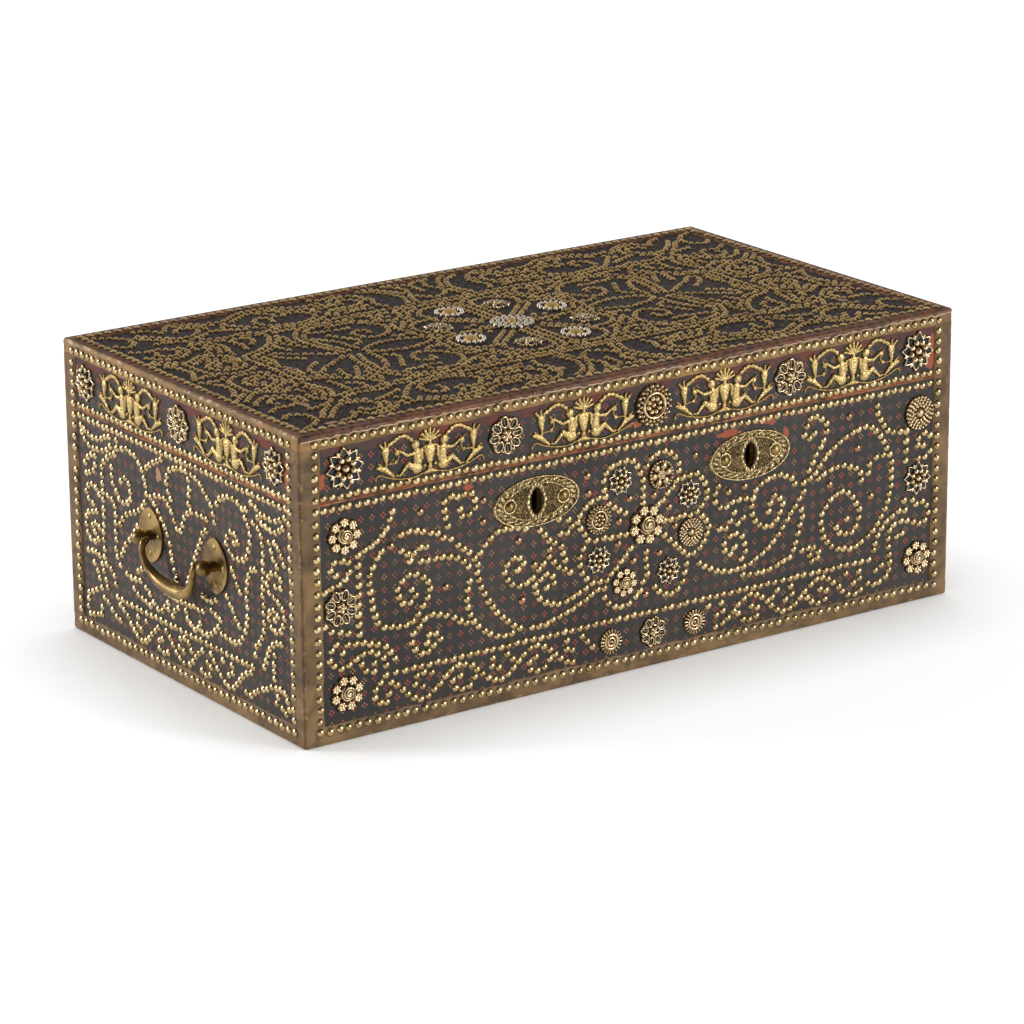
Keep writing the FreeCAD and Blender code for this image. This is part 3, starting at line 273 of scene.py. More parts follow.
class Shader:
    """A node material with one principled shader."""

    def __init__(self, name, metallic=0.0, specular=0.5):
        self.material = bpy.data.materials.new(name)
        self.material.use_nodes = True
        self.tree = self.material.node_tree
        self.skin = self.tree.nodes["Principled BSDF"]
        self.skin.inputs["Metallic"].default_value = metallic
        self.skin.inputs["Specular IOR Level"].default_value = specular
        self.where = self.tree.nodes.new("ShaderNodeTexCoord").outputs["Object"]

    def feed(self, socket, value):
        if isinstance(value, bpy.types.NodeSocket):
            self.tree.links.new(value, socket)
        else:
            socket.default_value = value

    def math(self, operation, first, second=0.0):
        node = self.tree.nodes.new("ShaderNodeMath")
        node.operation = operation
        self.feed(node.inputs[0], first)
        self.feed(node.inputs[1], second)
        return node.outputs[0]

    def noise(self, scale, detail=4.0, stretch=(1, 1, 1), warp=0.0):
        """Soft noise, 0 to 1, its features about 1/scale metres across."""
        place = self.tree.nodes.new("ShaderNodeMapping")
        self.feed(place.inputs["Vector"], self.where)
        place.inputs["Scale"].default_value = stretch
        node = self.tree.nodes.new("ShaderNodeTexNoise")
        self.feed(node.inputs["Vector"], place.outputs[0])
        node.inputs["Scale"].default_value = scale
        node.inputs["Detail"].default_value = detail
        node.inputs["Distortion"].default_value = warp
        return node.outputs["Fac"]

    def cells(self, scale):
        """Distance to the nearest of scattered points, about 1/scale metres apart."""
        node = self.tree.nodes.new("ShaderNodeTexVoronoi")
        self.feed(node.inputs["Vector"], self.where)
        node.inputs["Scale"].default_value = scale
        return node.outputs["Distance"]

    def value(self, name):
        """A per-vertex value of the mesh."""
        node = self.tree.nodes.new("ShaderNodeAttribute")
        node.attribute_name = name
        return node.outputs["Fac"]

    def axis(self, letter):
        node = self.tree.nodes.new("ShaderNodeSeparateXYZ")
        self.feed(node.inputs[0], self.where)
        return node.outputs[letter]

    def step(self, value, start, end, low=0.0, high=1.0):
        """Goes smoothly from low to high as value goes from start to end."""
        node = self.tree.nodes.new("ShaderNodeMapRange")
        node.interpolation_type = "SMOOTHSTEP"
        self.feed(node.inputs["Value"], value)
        node.inputs["From Min"].default_value = start
        node.inputs["From Max"].default_value = end
        node.inputs["To Min"].default_value = low
        node.inputs["To Max"].default_value = high
        return node.outputs["Result"]

    def mix(self, share, first, second):
        node = self.tree.nodes.new("ShaderNodeMix")
        node.data_type = "RGBA"
        self.feed(node.inputs[0], share)
        self.feed(node.inputs[6], first)
        self.feed(node.inputs[7], second)
        return node.outputs[2]

    def bump(self, height, depth_mm, strength=1.0, before=None):
        node = self.tree.nodes.new("ShaderNodeBump")
        self.feed(node.inputs["Height"], height)
        node.inputs["Distance"].default_value = depth_mm * MM
        node.inputs["Strength"].default_value = strength
        if before is not None:
            self.feed(node.inputs["Normal"], before)
        return node.outputs["Normal"]

    def done(self, color, roughness, normal):
        self.feed(self.skin.inputs["Base Color"], color)
        self.feed(self.skin.inputs["Roughness"], roughness)
        self.feed(self.skin.inputs["Normal"], normal)
        return self.material


def four_dot_print(shader, across, up):
    """(mask, which of two colours) of a print of four-dot flowers on the plane of two axes."""
    scale = 1 / (PRINT_PITCH * MM)
    shares, columns = [], []
    for letter in (across, up):
        position = shader.math("MULTIPLY", shader.axis(letter), scale)
        columns.append(shader.math("FLOOR", position))
        share = shader.math("SUBTRACT", shader.math("FRACT", position), 0.5)
        shares.append(shader.math("ABSOLUTE", share))
    far = shader.math("SUBTRACT", shader.math("MAXIMUM", *shares), PRINT_DOT_OUT)
    near = shader.math("MINIMUM", *shares)
    squares = shader.math("ADD", shader.math("MULTIPLY", far, far), shader.math("MULTIPLY", near, near))
    mask = shader.step(shader.math("SQRT", squares), *PRINT_DOT_EDGE)
    parity = shader.math("FLOORED_MODULO", shader.math("ADD", *columns), 2.0)
    return mask, parity


def scuffs(shader, across, up, spots):
    """Where the leather's skin is gone: ragged ovals (across, up, half width, half height)."""
    ragged = shader.step(shader.noise(190, 5), 0.25, 0.75, -0.55, 0.55)
    mask = None
    for spot in spots:
        squares = []
        for letter, middle, half in zip((across, up), spot[:2], spot[2:]):
            offset = shader.math("SUBTRACT", shader.axis(letter), middle * MM)
            share = shader.math("MULTIPLY", offset, 1 / (half * MM))
            squares.append(shader.math("MULTIPLY", share, share))
        inside = shader.step(shader.math("ADD", shader.math("ADD", *squares), ragged), 1.1, 0.8)
        mask = inside if mask is None else shader.math("MAXIMUM", mask, inside)
    return mask


def printed_leather(name, across, up, bare, grounds, spots=(), band=False, specular=0.3, printed=0.95):
    """Black leather with a worn print, bare in spots; with band, plain maroon under the lid's top edge."""
    shader = Shader(name, specular=specular)
    cloudy = shader.noise(9, 5)
    ground = shader.mix(shader.step(cloudy, 0.3, 0.75), *grounds)
    fine = shader.noise(170, 6)
    ground = shader.mix(shader.step(fine, 0.54, 0.8, 0, 0.5), ground, srgb(84, 76, 68))
    mask, parity = four_dot_print(shader, across, up)
    ink = shader.mix(parity, srgb(184, 80, 60), srgb(172, 118, 78))
    kept = shader.step(shader.noise(85, 3), 0.34, 0.58, 0.3 * printed, printed)
    color = shader.mix(shader.math("MULTIPLY", mask, kept), ground, ink)
    if band:
        wobble = shader.math("MULTIPLY", shader.noise(60, 4), 4 * MM)
        level = shader.math("ADD", shader.axis("Z"), wobble)
        worn = shader.mix(shader.step(shader.noise(45, 6), 0.42, 0.7), srgb(76, 54, 48), srgb(120, 54, 42))
        above = shader.step(level, MAROON_EDGE_Z[0] * MM, MAROON_EDGE_Z[1] * MM)
        color = shader.mix(above, color, worn)
    scratch = shader.step(shader.noise(300, 6, warp=2.0), 0.66, 0.72, 0, 0.35)
    color = shader.mix(scratch, color, srgb(120, 112, 104))
    if spots:
        color = shader.mix(scuffs(shader, across, up, spots), color, bare)
    normal = shader.bump(shader.cells(900), 0.12, 0.5)
    normal = shader.bump(shader.noise(35, 4), 1.2, 0.5, normal)
    return shader.done(color, shader.step(fine, 0.3, 0.8, 0.46, 0.72), normal)


def binding_leather(name, dull, light, worn, over=None):
    """Brown edge leather, cracked, pale where the mesh has wear and of another colour where it has over."""
    shader = Shader(name, specular=0.3)
    streaks = shader.noise(26, 7, warp=0.8)
    color = shader.mix(shader.step(streaks, 0.32, 0.68), dull, light)
    blotch = shader.step(shader.noise(70, 5), 0.5, 0.72)
    color = shader.mix(shader.math("MULTIPLY", blotch, 0.6), color, srgb(52, 38, 27))
    if over is not None:
        upper = shader.mix(shader.step(shader.noise(120, 6, warp=1.0), 0.36, 0.62), srgb(58, 38, 26), over)
        color = shader.mix(shader.step(shader.value("over"), 0.3, 0.7, 0, 0.95), color, upper)
    edge = shader.math("ADD", shader.value("wear"), shader.step(shader.noise(140, 6), 0.3, 0.7, -0.35, 0.2))
    color = shader.mix(shader.step(edge, 0.5, 0.8, 0, 0.85), color, worn)
    crack = shader.step(shader.noise(210, 8, warp=1.5), 0.64, 0.74, 0, 0.4)
    color = shader.mix(crack, color, srgb(176, 146, 110))
    normal = shader.bump(shader.cells(700), 0.15, 0.5)
    normal = shader.bump(streaks, 1.6, 0.7, normal)
    return shader.done(color, shader.step(streaks, 0.2, 0.8, 0.42, 0.66), normal)


def stud_brass(name, dull, bright):
    """Domed brass, each stud a little different, some coppery; painted contact shade and pale crust at the
    brim.
    """
    shader = Shader(name, metallic=1.0)
    color = shader.mix(shader.value("tone"), dull, bright)
    color = shader.mix(shader.value("copper"), color, srgb(166, 128, 98))
    dirt = shader.step(shader.noise(260, 5), 0.50, 0.74, 0, 0.6)
    color = shader.mix(dirt, color, srgb(98, 82, 54))
    # The brim: painted contact shade, dark all round, with patches of pale crust
    brim_shade_and_crust = shader.mix(shader.step(shader.noise(150, 4), 0.63, 0.68), srgb(34, 27, 18), srgb(206, 200, 184))
    color = shader.mix(shader.step(shader.value("brim"), 0.82, 0.96, 0, 0.92), color, brim_shade_and_crust)
    normal = shader.bump(shader.noise(420, 4), 0.2, 0.3)
    return shader.done(color, shader.step(shader.noise(300, 4), 0.3, 0.75, 0.15, 0.28), normal)


def pressed_brass(name, dark, middle, light, rough, chased=0.0, second=BLUE_BLACK, metallic=1.0):
    """Pressed brass, tarnish and painted shade in the hollows, a painted highlight where high, a second
    colour where the mesh has one.
    """
    shader = Shader(name, metallic=metallic)
    uneven = shader.step(shader.noise(330, 4), 0.25, 0.75, -0.15, 0.15)
    high = shader.math("ADD", shader.value("high"), uneven)
    # Darker down in the relief and paler on its tops: tarnish with painted shade below, painted highlight
    # above
    color = shader.mix(shader.step(high, 0.12, 0.55), dark, middle)
    color = shader.mix(shader.step(high, 0.55, 0.95), color, light)
    stain = shader.step(shader.noise(80, 5), 0.52, 0.75, 0, 0.45)
    color = shader.mix(stain, color, middle)
    color = shader.mix(shader.value("second"), color, second)
    normal = shader.bump(shader.noise(700, 4), 0.2, 0.4)
    if chased:
        grain = shader.cells(480)
        color = shader.mix(shader.step(grain, 0.42, 0.75, 0, chased), color, dark)
        normal = shader.bump(grain, -0.7, 0.8, normal)
    return shader.done(color, shader.step(high, 0.1, 0.9, rough + 0.25, rough), normal)


def handle_brass(name):
    """Old cast brass, brown in places and green in a few."""
    shader = Shader(name, metallic=1.0)
    color = shader.mix(shader.step(shader.noise(30, 6), 0.35, 0.7), srgb(112, 90, 54), srgb(176, 146, 92))
    stain = shader.step(shader.noise(75, 6, warp=0.7), 0.55, 0.72)
    color = shader.mix(shader.math("MULTIPLY", stain, 0.75), color, srgb(74, 58, 38))
    green = shader.step(shader.noise(42, 5), 0.66, 0.74, 0, 0.5)
    color = shader.mix(green, color, srgb(84, 106, 84))
    normal = shader.bump(shader.noise(260, 5), 0.3, 0.4)
    return shader.done(color, shader.step(shader.noise(90, 5), 0.3, 0.7, 0.28, 0.5), normal)


def dark_iron(name):
    shader = Shader(name, metallic=1.0)
    rust = shader.step(shader.noise(90, 6), 0.5, 0.72)
    color = shader.mix(rust, srgb(70, 66, 62), srgb(96, 62, 42))
    normal = shader.bump(shader.noise(320, 5), 0.3, 0.6)
    return shader.done(color, shader.step(rust, 0, 1, 0.42, 0.75), normal)


def board_wood(name, stretch):
    """Bare oiled boards with the grain along the axis that stretch makes smallest."""
    shader = Shader(name, specular=0.3)
    rings = shader.noise(38, 6, stretch, warp=1.2)
    color = shader.mix(shader.step(rings, 0.3, 0.7), srgb(116, 78, 48), srgb(168, 122, 80))
    pores = shader.noise(420, 4, stretch)
    color = shader.mix(shader.step(pores, 0.56, 0.72, 0, 0.6), color, srgb(78, 50, 30))
    color = shader.mix(shader.step(shader.noise(7, 4), 0.5, 0.75, 0, 0.4), color, srgb(92, 66, 46))
    normal = shader.bump(pores, 0.2, 0.5)
    return shader.done(color, shader.step(rings, 0.2, 0.8, 0.5, 0.66), normal)


# Colours, bare spots of each face (place on its two axes, half width, half height), and the materials
TAN = srgb(186, 142, 108)
ORANGE = srgb(170, 88, 60)
FRONT_SCUFFS = [(103, 212, 13, 3.5), (171, 201, 3.5, 7), (152, 216, 6, 4), (-195, 213, 6, 3)]
LID_FRONT_SCUFFS = [(349, 252, 7, 17), (-8, 240, 9, 2.5), (-352, 246, 5, 9)]
END_SCUFFS = [(38, 197, 5, 7), (-77, 203, 4, 4)]
LID_END_SCUFFS = [(186, 256, 4, 15), (-186, 252, 3, 12)]
TOP_SCUFFS = [
    (-311, -117, 4, 11), (-323, -182, 9, 3), (-53, -157, 4, 4), (-12, -183, 4, 7), (18, -165, 5, 4),
    (153, -157, 4, 4), (312, -114, 5, 10), (190, 120, 12, 4), (-250, 105, 4, 4),
]
BLACK = (srgb(43, 41, 39), srgb(61, 58, 54))
WARM_BLACK = (srgb(48, 44, 40), srgb(68, 62, 55))
# The top's ground, darker than the sides': painted shade, for the top's lesser light
SHADED_TOP_BLACK = (srgb(33, 31, 30), srgb(48, 45, 42))
leather_front = printed_leather("leather_front", "X", "Z", ORANGE, BLACK, FRONT_SCUFFS)
leather_back = printed_leather("leather_back", "X", "Z", ORANGE, BLACK)
leather_end = printed_leather("leather_end", "Y", "Z", TAN, WARM_BLACK, END_SCUFFS)
leather_top = printed_leather(
    "leather_top", "X", "Y", TAN, SHADED_TOP_BLACK, TOP_SCUFFS, specular=0.1, printed=0.5)
leather_lid_front = printed_leather(
    "leather_lid_front", "X", "Z", ORANGE, BLACK, LID_FRONT_SCUFFS, band=True)
leather_lid_end = printed_leather(
    "leather_lid_end", "Y", "Z", ORANGE, WARM_BLACK, LID_END_SCUFFS, band=True)
brown_binding = binding_leather("brown_binding", srgb(102, 78, 50), srgb(146, 116, 78), srgb(182, 150, 110))
top_binding = binding_leather(
    "top_binding", srgb(128, 98, 60), srgb(178, 138, 88), srgb(228, 200, 170), srgb(126, 74, 46))
raw_edge = binding_leather("raw_edge", srgb(96, 58, 36), srgb(186, 112, 68), srgb(204, 148, 104))
brass_studs = stud_brass("brass_studs", srgb(172, 146, 98), srgb(222, 195, 144))
# The top's studs: a brighter, browner copy of the stud brass, painted light for the glints and warm
# reflections they show
top_studs_painted_light = stud_brass("top_studs_painted_light", srgb(176, 138, 80), srgb(236, 198, 132))
gilt = pressed_brass("gilt", srgb(50, 40, 30), srgb(188, 160, 116), srgb(236, 214, 176), 0.26)
pale_gilt = pressed_brass(
    "pale_gilt", srgb(66, 52, 30), srgb(164, 138, 86), srgb(196, 170, 114), 0.42, chased=0.25)
# Pale, half metallic beads of the top's rosettes: their own pale colour with a painted reflection of the
# lamps; domes and bosses in the second colour
pale_beads_painted_sheen = pressed_brass(
    "pale_beads_painted_sheen", srgb(52, 42, 30), srgb(232, 214, 188), srgb(255, 248, 236), 0.3,
    second=srgb(196, 158, 86), metallic=0.4)
bronze = pressed_brass("bronze", srgb(44, 37, 25), srgb(148, 126, 86), srgb(210, 188, 140), 0.32, chased=0.5)
old_brass = handle_brass("old_brass")
iron = dark_iron("iron")
wood_along_x = board_wood("wood_along_x", (0.08, 1, 1))
wood_along_y = board_wood("wood_along_y", (1, 0.08, 1))


# Studs
class Studs:
    """Studs of one piece. A stud that would overlap one already set, or an ornament, is left out."""

    def __init__(self, taken=None):
        self.gather = Gather()
        self.taken = {} if taken is None else taken
        angles = np.linspace(0, 2 * math.pi, STUD_SEGMENTS, endpoint=False)
        rings = np.linspace(1, 0, STUD_RINGS, endpoint=False)
        self.faces = grid_faces(STUD_RINGS, STUD_SEGMENTS, True)
        crown, first = STUD_RINGS * STUD_SEGMENTS, (STUD_RINGS - 1) * STUD_SEGMENTS
        for c in range(STUD_SEGMENTS):
            self.faces.append((first + c, first + (c + 1) % STUD_SEGMENTS, crown))
        self.x = np.append(np.outer(rings, np.cos(angles)), 0.0)
        self.y = np.append(np.outer(rings, np.sin(angles)), 0.0)
        self.brim = np.append(np.repeat(rings, STUD_SEGMENTS), 0.0)

    def keep_clear(self, face, u, v, radius):
        """Reserves a disc, such as a rosette's."""
        self.taken.setdefault(id(face), []).append((u, v, radius))

    def is_free(self, face, u, v, radius):
        spots = np.array(self.taken.get(id(face), [(1e6, 1e6, 0)]))
        gaps = np.hypot(spots[:, 0] - u, spots[:, 1] - v) - spots[:, 2] - radius
        return gaps.min() > -STUD_OVERLAP * radius

    def add(self, face, u, v, lift=0.0, radius=STUD_R, rise=STUD_RISE, copper=0.0):
        if not self.is_free(face, u, v, radius):
            return
        self.keep_clear(face, u, v, radius)
        u, v = u + rng.normal(0, STUD_STRAY), v + rng.normal(0, STUD_STRAY)
        size = radius * rng.normal(1, STUD_SIZE_SPREAD)
        ball = (radius**2 + rise**2) / (2 * rise)
        drop = ball - np.sqrt(np.maximum(ball**2 - (radius * self.brim) ** 2, 0))
        verts = face.at(u + size * self.x, v + size * self.y, lift + (rise - drop) * size / radius)
        tone = np.clip(rng.normal(0.5, STUD_TONE_SPREAD), 0, 1)
        self.gather.add(verts, self.faces, brim=self.brim, tone=tone, copper=copper)

    def line(self, face, points, beside=0.0):
        """Scroll studs evenly along a smooth curve through points, or along its left or right side."""
        line = curve(points)
        run = np.gradient(line, axis=0)
        across = np.column_stack([-run[:, 1], run[:, 0]]) / np.maximum(np.hypot(*run.T), 1e-6)[:, None]
        pitch, radius, rise = SCROLL_PITCH, SCROLL_STUD_R, SCROLL_STUD_RISE
        if face is TOP:
            pitch, radius, rise = TOP_PITCH, TOP_STUD_R, TOP_STUD_RISE
        for u, v in evenly(line + beside * across, pitch):
            self.add(face, u, v, 0.0, radius, rise)


def curve(points, steps=12):
    """A smooth line through points (Catmull-Rom)."""
    p = np.array(points, float)
    p = np.vstack([2 * p[0] - p[1], p, 2 * p[-1] - p[-2]])
    t = (np.arange(steps) / steps)[:, None]
    runs = []
    for a, b, c, d in zip(p, p[1:], p[2:], p[3:]):
        runs.append(b + 0.5 * t * (c - a + t * (2 * a - 5 * b + 4 * c - d + t * (3 * (b - c) + d - a))))
    return np.vstack(runs + [p[-2:-1]])


def evenly(line, pitch):
    """Points along a line, about pitch apart, both ends included."""
    lengths = np.append(0, np.cumsum(np.hypot(*np.diff(line, axis=0).T)))
    count = max(1, round(lengths[-1] / pitch))
    stops = np.linspace(0, lengths[-1], count + 1)
    return np.column_stack([np.interp(stops, lengths, line[:, i]) for i in (0, 1)])


def spread(start, end, pitch):
    """Evenly spaced values from start to end, both included, about pitch apart."""
    count = max(1, round((end - start) / pitch))
    return [start + (end - start) * i / count for i in range(count + 1)]


def border_studs(base, lid, face, width):
    """The rows along the edges of one upright face, where the solids have them."""
    last = width - COLUMN_INSET
    for u in spread(COLUMN_INSET, last, BORDER_PITCH):
        base.add(face, u, BOTTOM_ROW_Z, BINDING_T)
        lid.add(face, u, lid_top_row_z, BINDING_T)
    panel_edge = CORNER_BINDING_W + STUD_R
    for u in spread(panel_edge, width - panel_edge, SEAM_PITCH):
        beside_hinge = abs(abs(half_length - u) - HINGE_SPACING / 2) < HINGE_LENGTH / 2 + HINGE_CLEAR
        if face is not BACK or not beside_hinge:
            base.add(face, u, base_row_z)
            lid.add(face, u, lid_row_z)
    for u in (COLUMN_INSET, last):
        for v in spread(BOTTOM_ROW_Z, base_row_z, COLUMN_PITCH)[1:]:
            base.add(face, u, v, BINDING_T)
        for v in spread(lid_row_z, lid_top_row_z, COLUMN_PITCH)[:-1]:
            lid.add(face, u, v, BINDING_T)


# Scrolls of the front: smooth lines of small studs, as points (along the front from the left edge, height)
FRONT_SCROLLS = [
    # left border
    [(61, 173), (78, 180), (92, 191), (100, 214)],
    [(43, 83), (50, 90), (70, 88), (86, 82), (93, 76), (102, 60), (103, 52)],
    [(61, 98), (46, 94), (38, 94), (33, 91), (30, 77), (39, 70), (47, 70), (59, 76), (73, 79),
     (88, 68), (88, 54)],
    [(59, 76), (69, 60), (77, 61), (76, 67)],
    [(25, 144), (47, 152), (52, 164), (48, 169), (36, 170), (32, 164), (37, 158)],
    [(25, 112), (29, 107), (43, 104), (49, 101)],
    # left half: outer spiral, its stem, upper, lower and inner spirals
    [(161, 169), (154, 171), (146, 176), (132, 181), (116, 184), (101, 180), (87, 172), (74, 153),
     (73, 139), (79, 110), (88, 100), (112, 96), (125, 105), (137, 124), (132, 137), (115, 143),
     (103, 132), (108, 118), (116, 117), (122, 123), (118, 129)],
    [(172, 195), (174, 187), (188, 193), (185, 207), (178, 209), (171, 206), (163, 209), (156, 206),
     (154, 199), (161, 169), (172, 159), (190, 142), (189, 135), (192, 120), (207, 94), (228, 73),
     (236, 68)],
    [(190, 142), (193, 150), (204, 161), (219, 166), (254, 161), (266, 152), (270, 145), (270, 131),
     (264, 126), (252, 115), (238, 109), (224, 115), (220, 128), (231, 138), (241, 130), (234, 125)],
    [(101, 173), (106, 168), (113, 165), (118, 151), (126, 153), (164, 151), (182, 135), (179, 118),
     (178, 104), (186, 84), (210, 66), (227, 65)],
    [(121, 163), (127, 167), (135, 166)],
    [(190, 74), (165, 92), (142, 101), (123, 91), (118, 76), (129, 65), (148, 75), (143, 82),
     (135, 82), (133, 75)],
    [(266, 152), (283, 150), (291, 150), (295, 156), (288, 168), (281, 164)],
    [(269, 147), (282, 138), (288, 124), (287, 116), (293, 111)],
    [(270, 131), (279, 119), (287, 116)],
    [(267, 101), (274, 104), (274, 111), (268, 115), (254, 107), (254, 99), (264, 87), (287, 83),
     (319, 95), (335, 95)],
    [(210, 66), (256, 66), (288, 72), (309, 79), (324, 88), (333, 89)],
    # lobes and spokes round the middle rosettes
    [(338, 169), (331, 187), (336, 201), (351, 207), (366, 205), (374, 192)],
    [(314, 138), (302, 158), (312, 171), (326, 177), (338, 169)],
    [(314, 136), (305, 124), (306, 110), (316, 99), (335, 95)],
    [(335, 95), (332, 81), (342, 69), (356, 66), (371, 74), (382, 92)],
    [(381, 92), (388, 80), (404, 67), (422, 74), (430, 101)],
    [(430, 101), (444, 106), (455, 126), (440, 142)],
    [(440, 142), (451, 153), (450, 168), (440, 180), (416, 178)],
    [(412, 172), (419, 186), (416, 200), (402, 209), (388, 205), (376, 192)],
    [(314, 136), (358, 136)],
    [(377, 163), (377, 192)],
    [(363, 152), (338, 169)],
    [(363, 121), (335, 95)],
    [(381, 92), (381, 114)],
    [(394, 157), (412, 172)],
    [(403, 141), (440, 141)],
    [(397, 131), (430, 101)],
    # right half
    [(568, 148), (580, 153), (602, 174), (629, 187), (645, 190), (658, 183), (675, 157), (678, 141),
     (673, 108), (654, 82), (627, 70), (598, 81), (591, 111), (615, 130), (637, 111), (632, 89),
     (616, 87), (609, 98), (622, 101)],
    [(581, 195), (575, 190), (569, 196), (575, 210), (583, 211), (595, 202), (593, 187), (568, 148),
     (570, 142), (556, 123), (536, 99), (511, 82), (482, 76), (453, 84), (430, 101)],
    [(567, 135), (554, 154), (539, 161), (517, 156), (507, 145), (506, 129), (514, 115), (532, 113),
     (543, 131), (532, 141), (526, 127)],
    [(571, 142), (601, 154), (617, 156), (637, 147), (642, 133), (650, 148), (648, 156), (666, 157)],
    [(507, 145), (486, 144), (471, 140), (461, 151), (469, 164), (478, 155)],
    [(500, 142), (487, 135), (474, 119)],
    [(500, 132), (489, 121), (467, 120)],
    [(485, 99), (481, 93), (475, 96), (472, 103), (483, 112), (496, 105), (498, 91), (488, 79)],
    [(482, 76), (487, 71), (519, 67), (547, 74), (558, 84), (567, 115), (562, 129)],
    [(560, 77), (576, 81), (588, 75), (586, 68), (580, 66), (576, 73)],
    # right border
    [(695, 177), (676, 179), (668, 186), (659, 201), (658, 209)],
    [(695, 96), (686, 96), (670, 87), (660, 73), (658, 63), (650, 58)],
    [(703, 143), (710, 146), (723, 148), (729, 160), (721, 171), (709, 165), (711, 158), (717, 158)],
    [(704, 105), (707, 100), (720, 100), (725, 88), (716, 79), (696, 85), (682, 84), (675, 73),
     (677, 46), (675, 34), (656, 27), (650, 30)],
    [(693, 80), (692, 73), (685, 71)],
    # start of the vine along the bottom
    [(91, 35), (90, 28), (83, 27), (75, 38), (84, 48), (91, 49)],
]

# Upright rows of the front: how far along, from and to which height
FRONT_COLUMNS = ((61, 98, 172), (695, 96, 177))

# Single copper studs of the front
FRONT_COPPER = [
    (362, 169), (349, 149), (349, 128), (366, 108), (380, 72), (389, 168), (407, 153), (415, 133),
    (396, 110), (438, 198), (128, 200), (155, 124), (197, 198), (197, 178), (235, 152), (239, 94),
    (253, 126), (313, 200), (314, 183), (96, 174), (497, 157), (624, 203), (634, 170), (600, 139),
    (652, 119),
]

# Scrolls of one end, as points (along the end from the back edge, height); the other end mirrors them
END_SCROLLS = [
    # back column and its foot
    [(95, 212), (94, 200), (85, 195), (70, 186), (66, 178), (66, 132), (65, 88), (75, 81), (83, 73),
     (88, 59)],
    [(75, 153), (82, 151), (88, 148), (89, 132), (88, 101), (95, 89)],
    # back spiral and its stems
    [(141, 158), (147, 167), (149, 174), (146, 185), (141, 196), (132, 203), (123, 207), (112, 208),
     (102, 204), (93, 196), (87, 190), (84, 179), (87, 168), (97, 155), (108, 153), (115, 157),
     (120, 163), (118, 170), (114, 177), (108, 178), (102, 174)],
    [(141, 157), (129, 151), (114, 145), (102, 136), (92, 124)],
    [(130, 137), (123, 128), (112, 118), (102, 106), (95, 93), (98, 86), (115, 82), (132, 83)],
    [(108, 81), (118, 73), (129, 68), (141, 65), (150, 63)],
    [(129, 92), (139, 97), (150, 99)],
    [(142, 79), (150, 74), (159, 66), (168, 63), (175, 65), (177, 71), (183, 75)],
    [(183, 68), (191, 64), (195, 70), (201, 75)],
    # middle
    [(177, 84), (204, 83), (246, 84)],
    [(145, 193), (150, 198), (159, 205), (169, 210), (177, 213)],
    [(156, 171), (168, 162), (178, 151), (188, 137), (193, 118), (199, 103)],
    [(157, 172), (165, 175), (174, 177), (183, 176), (191, 170), (197, 162), (203, 152)],
    [(215, 213), (199, 210), (191, 206), (187, 198), (188, 188), (193, 179)],
    [(222, 213), (226, 207), (228, 196), (225, 188), (226, 181), (230, 177), (223, 173), (218, 167),
     (210, 152)],
    [(233, 177), (245, 176), (260, 175), (258, 167), (248, 159), (245, 151), (235, 135), (226, 117),
     (219, 103)],
    [(232, 212), (245, 209), (254, 200), (264, 192), (269, 185), (271, 176)],
    [(215, 76), (219, 67), (228, 62), (237, 65), (241, 73), (239, 78)],
    # front spiral and its stems
    [(271, 189), (277, 196), (284, 204), (296, 206), (310, 206), (320, 201), (328, 191), (333, 179),
     (330, 167), (325, 157), (316, 152), (304, 151), (295, 157), (290, 164), (293, 170), (301, 175),
     (309, 172), (311, 166), (305, 164)],
    [(341, 150), (333, 148), (328, 140), (325, 129), (324, 117), (325, 101), (321, 87), (315, 76),
     (305, 70), (295, 69), (278, 71)],
    [(292, 144), (302, 137), (308, 127), (315, 118), (323, 107)],
    [(246, 99), (263, 98), (271, 103), (275, 107)],
    [(290, 110), (295, 104), (302, 96), (310, 88)],
    [(254, 93), (265, 88), (276, 84), (274, 78), (266, 70), (255, 64), (245, 62)],
    # front column and its foot
    [(327, 203), (332, 196), (341, 192), (351, 186), (354, 174), (353, 132), (353, 98), (348, 84),
     (339, 76), (335, 60)],
    # curls along the back edge
    [(28, 212), (40, 207), (53, 204), (65, 207), (76, 211), (89, 214)],
    [(29, 205), (37, 197), (50, 194), (64, 195), (75, 198), (83, 204)],
    [(53, 187), (53, 178), (47, 170), (31, 165), (32, 173), (38, 181), (46, 187)],
    [(46, 138), (38, 141), (34, 149), (41, 156), (53, 155), (60, 148), (62, 137), (50, 131),
     (37, 127), (31, 118), (33, 107), (42, 100), (53, 103), (60, 110), (58, 117), (47, 119),
     (44, 114), (49, 110)],
    [(34, 88), (47, 90), (58, 86), (63, 74), (70, 60)],
    [(38, 83), (46, 78), (53, 68), (58, 57)],
    [(32, 45), (43, 50), (55, 53), (64, 46), (73, 42), (82, 35), (92, 32)],
    [(31, 38), (29, 31), (35, 23), (47, 26), (55, 28), (56, 37)],
    # curls along the front edge
    [(328, 214), (340, 210), (355, 204), (370, 204), (382, 207), (392, 212)],
    [(340, 203), (349, 199), (358, 195), (367, 193), (376, 194), (389, 201)],
    [(367, 187), (379, 181), (388, 170), (387, 161), (376, 164), (369, 171), (366, 182)],
    [(375, 142), (384, 144), (382, 152), (372, 155), (363, 149), (360, 138), (370, 132), (382, 128),
     (388, 117), (384, 104), (373, 99), (364, 104), (362, 114), (370, 119), (378, 115), (373, 110)],
    [(382, 90), (370, 87), (362, 80), (357, 70), (352, 60)],
    [(375, 82), (370, 74), (369, 57), (374, 38), (373, 31)],
    [(319, 26), (328, 26), (340, 34), (354, 39), (366, 45), (378, 46), (387, 45)],
    [(381, 29), (388, 26), (393, 32), (391, 38)],
]


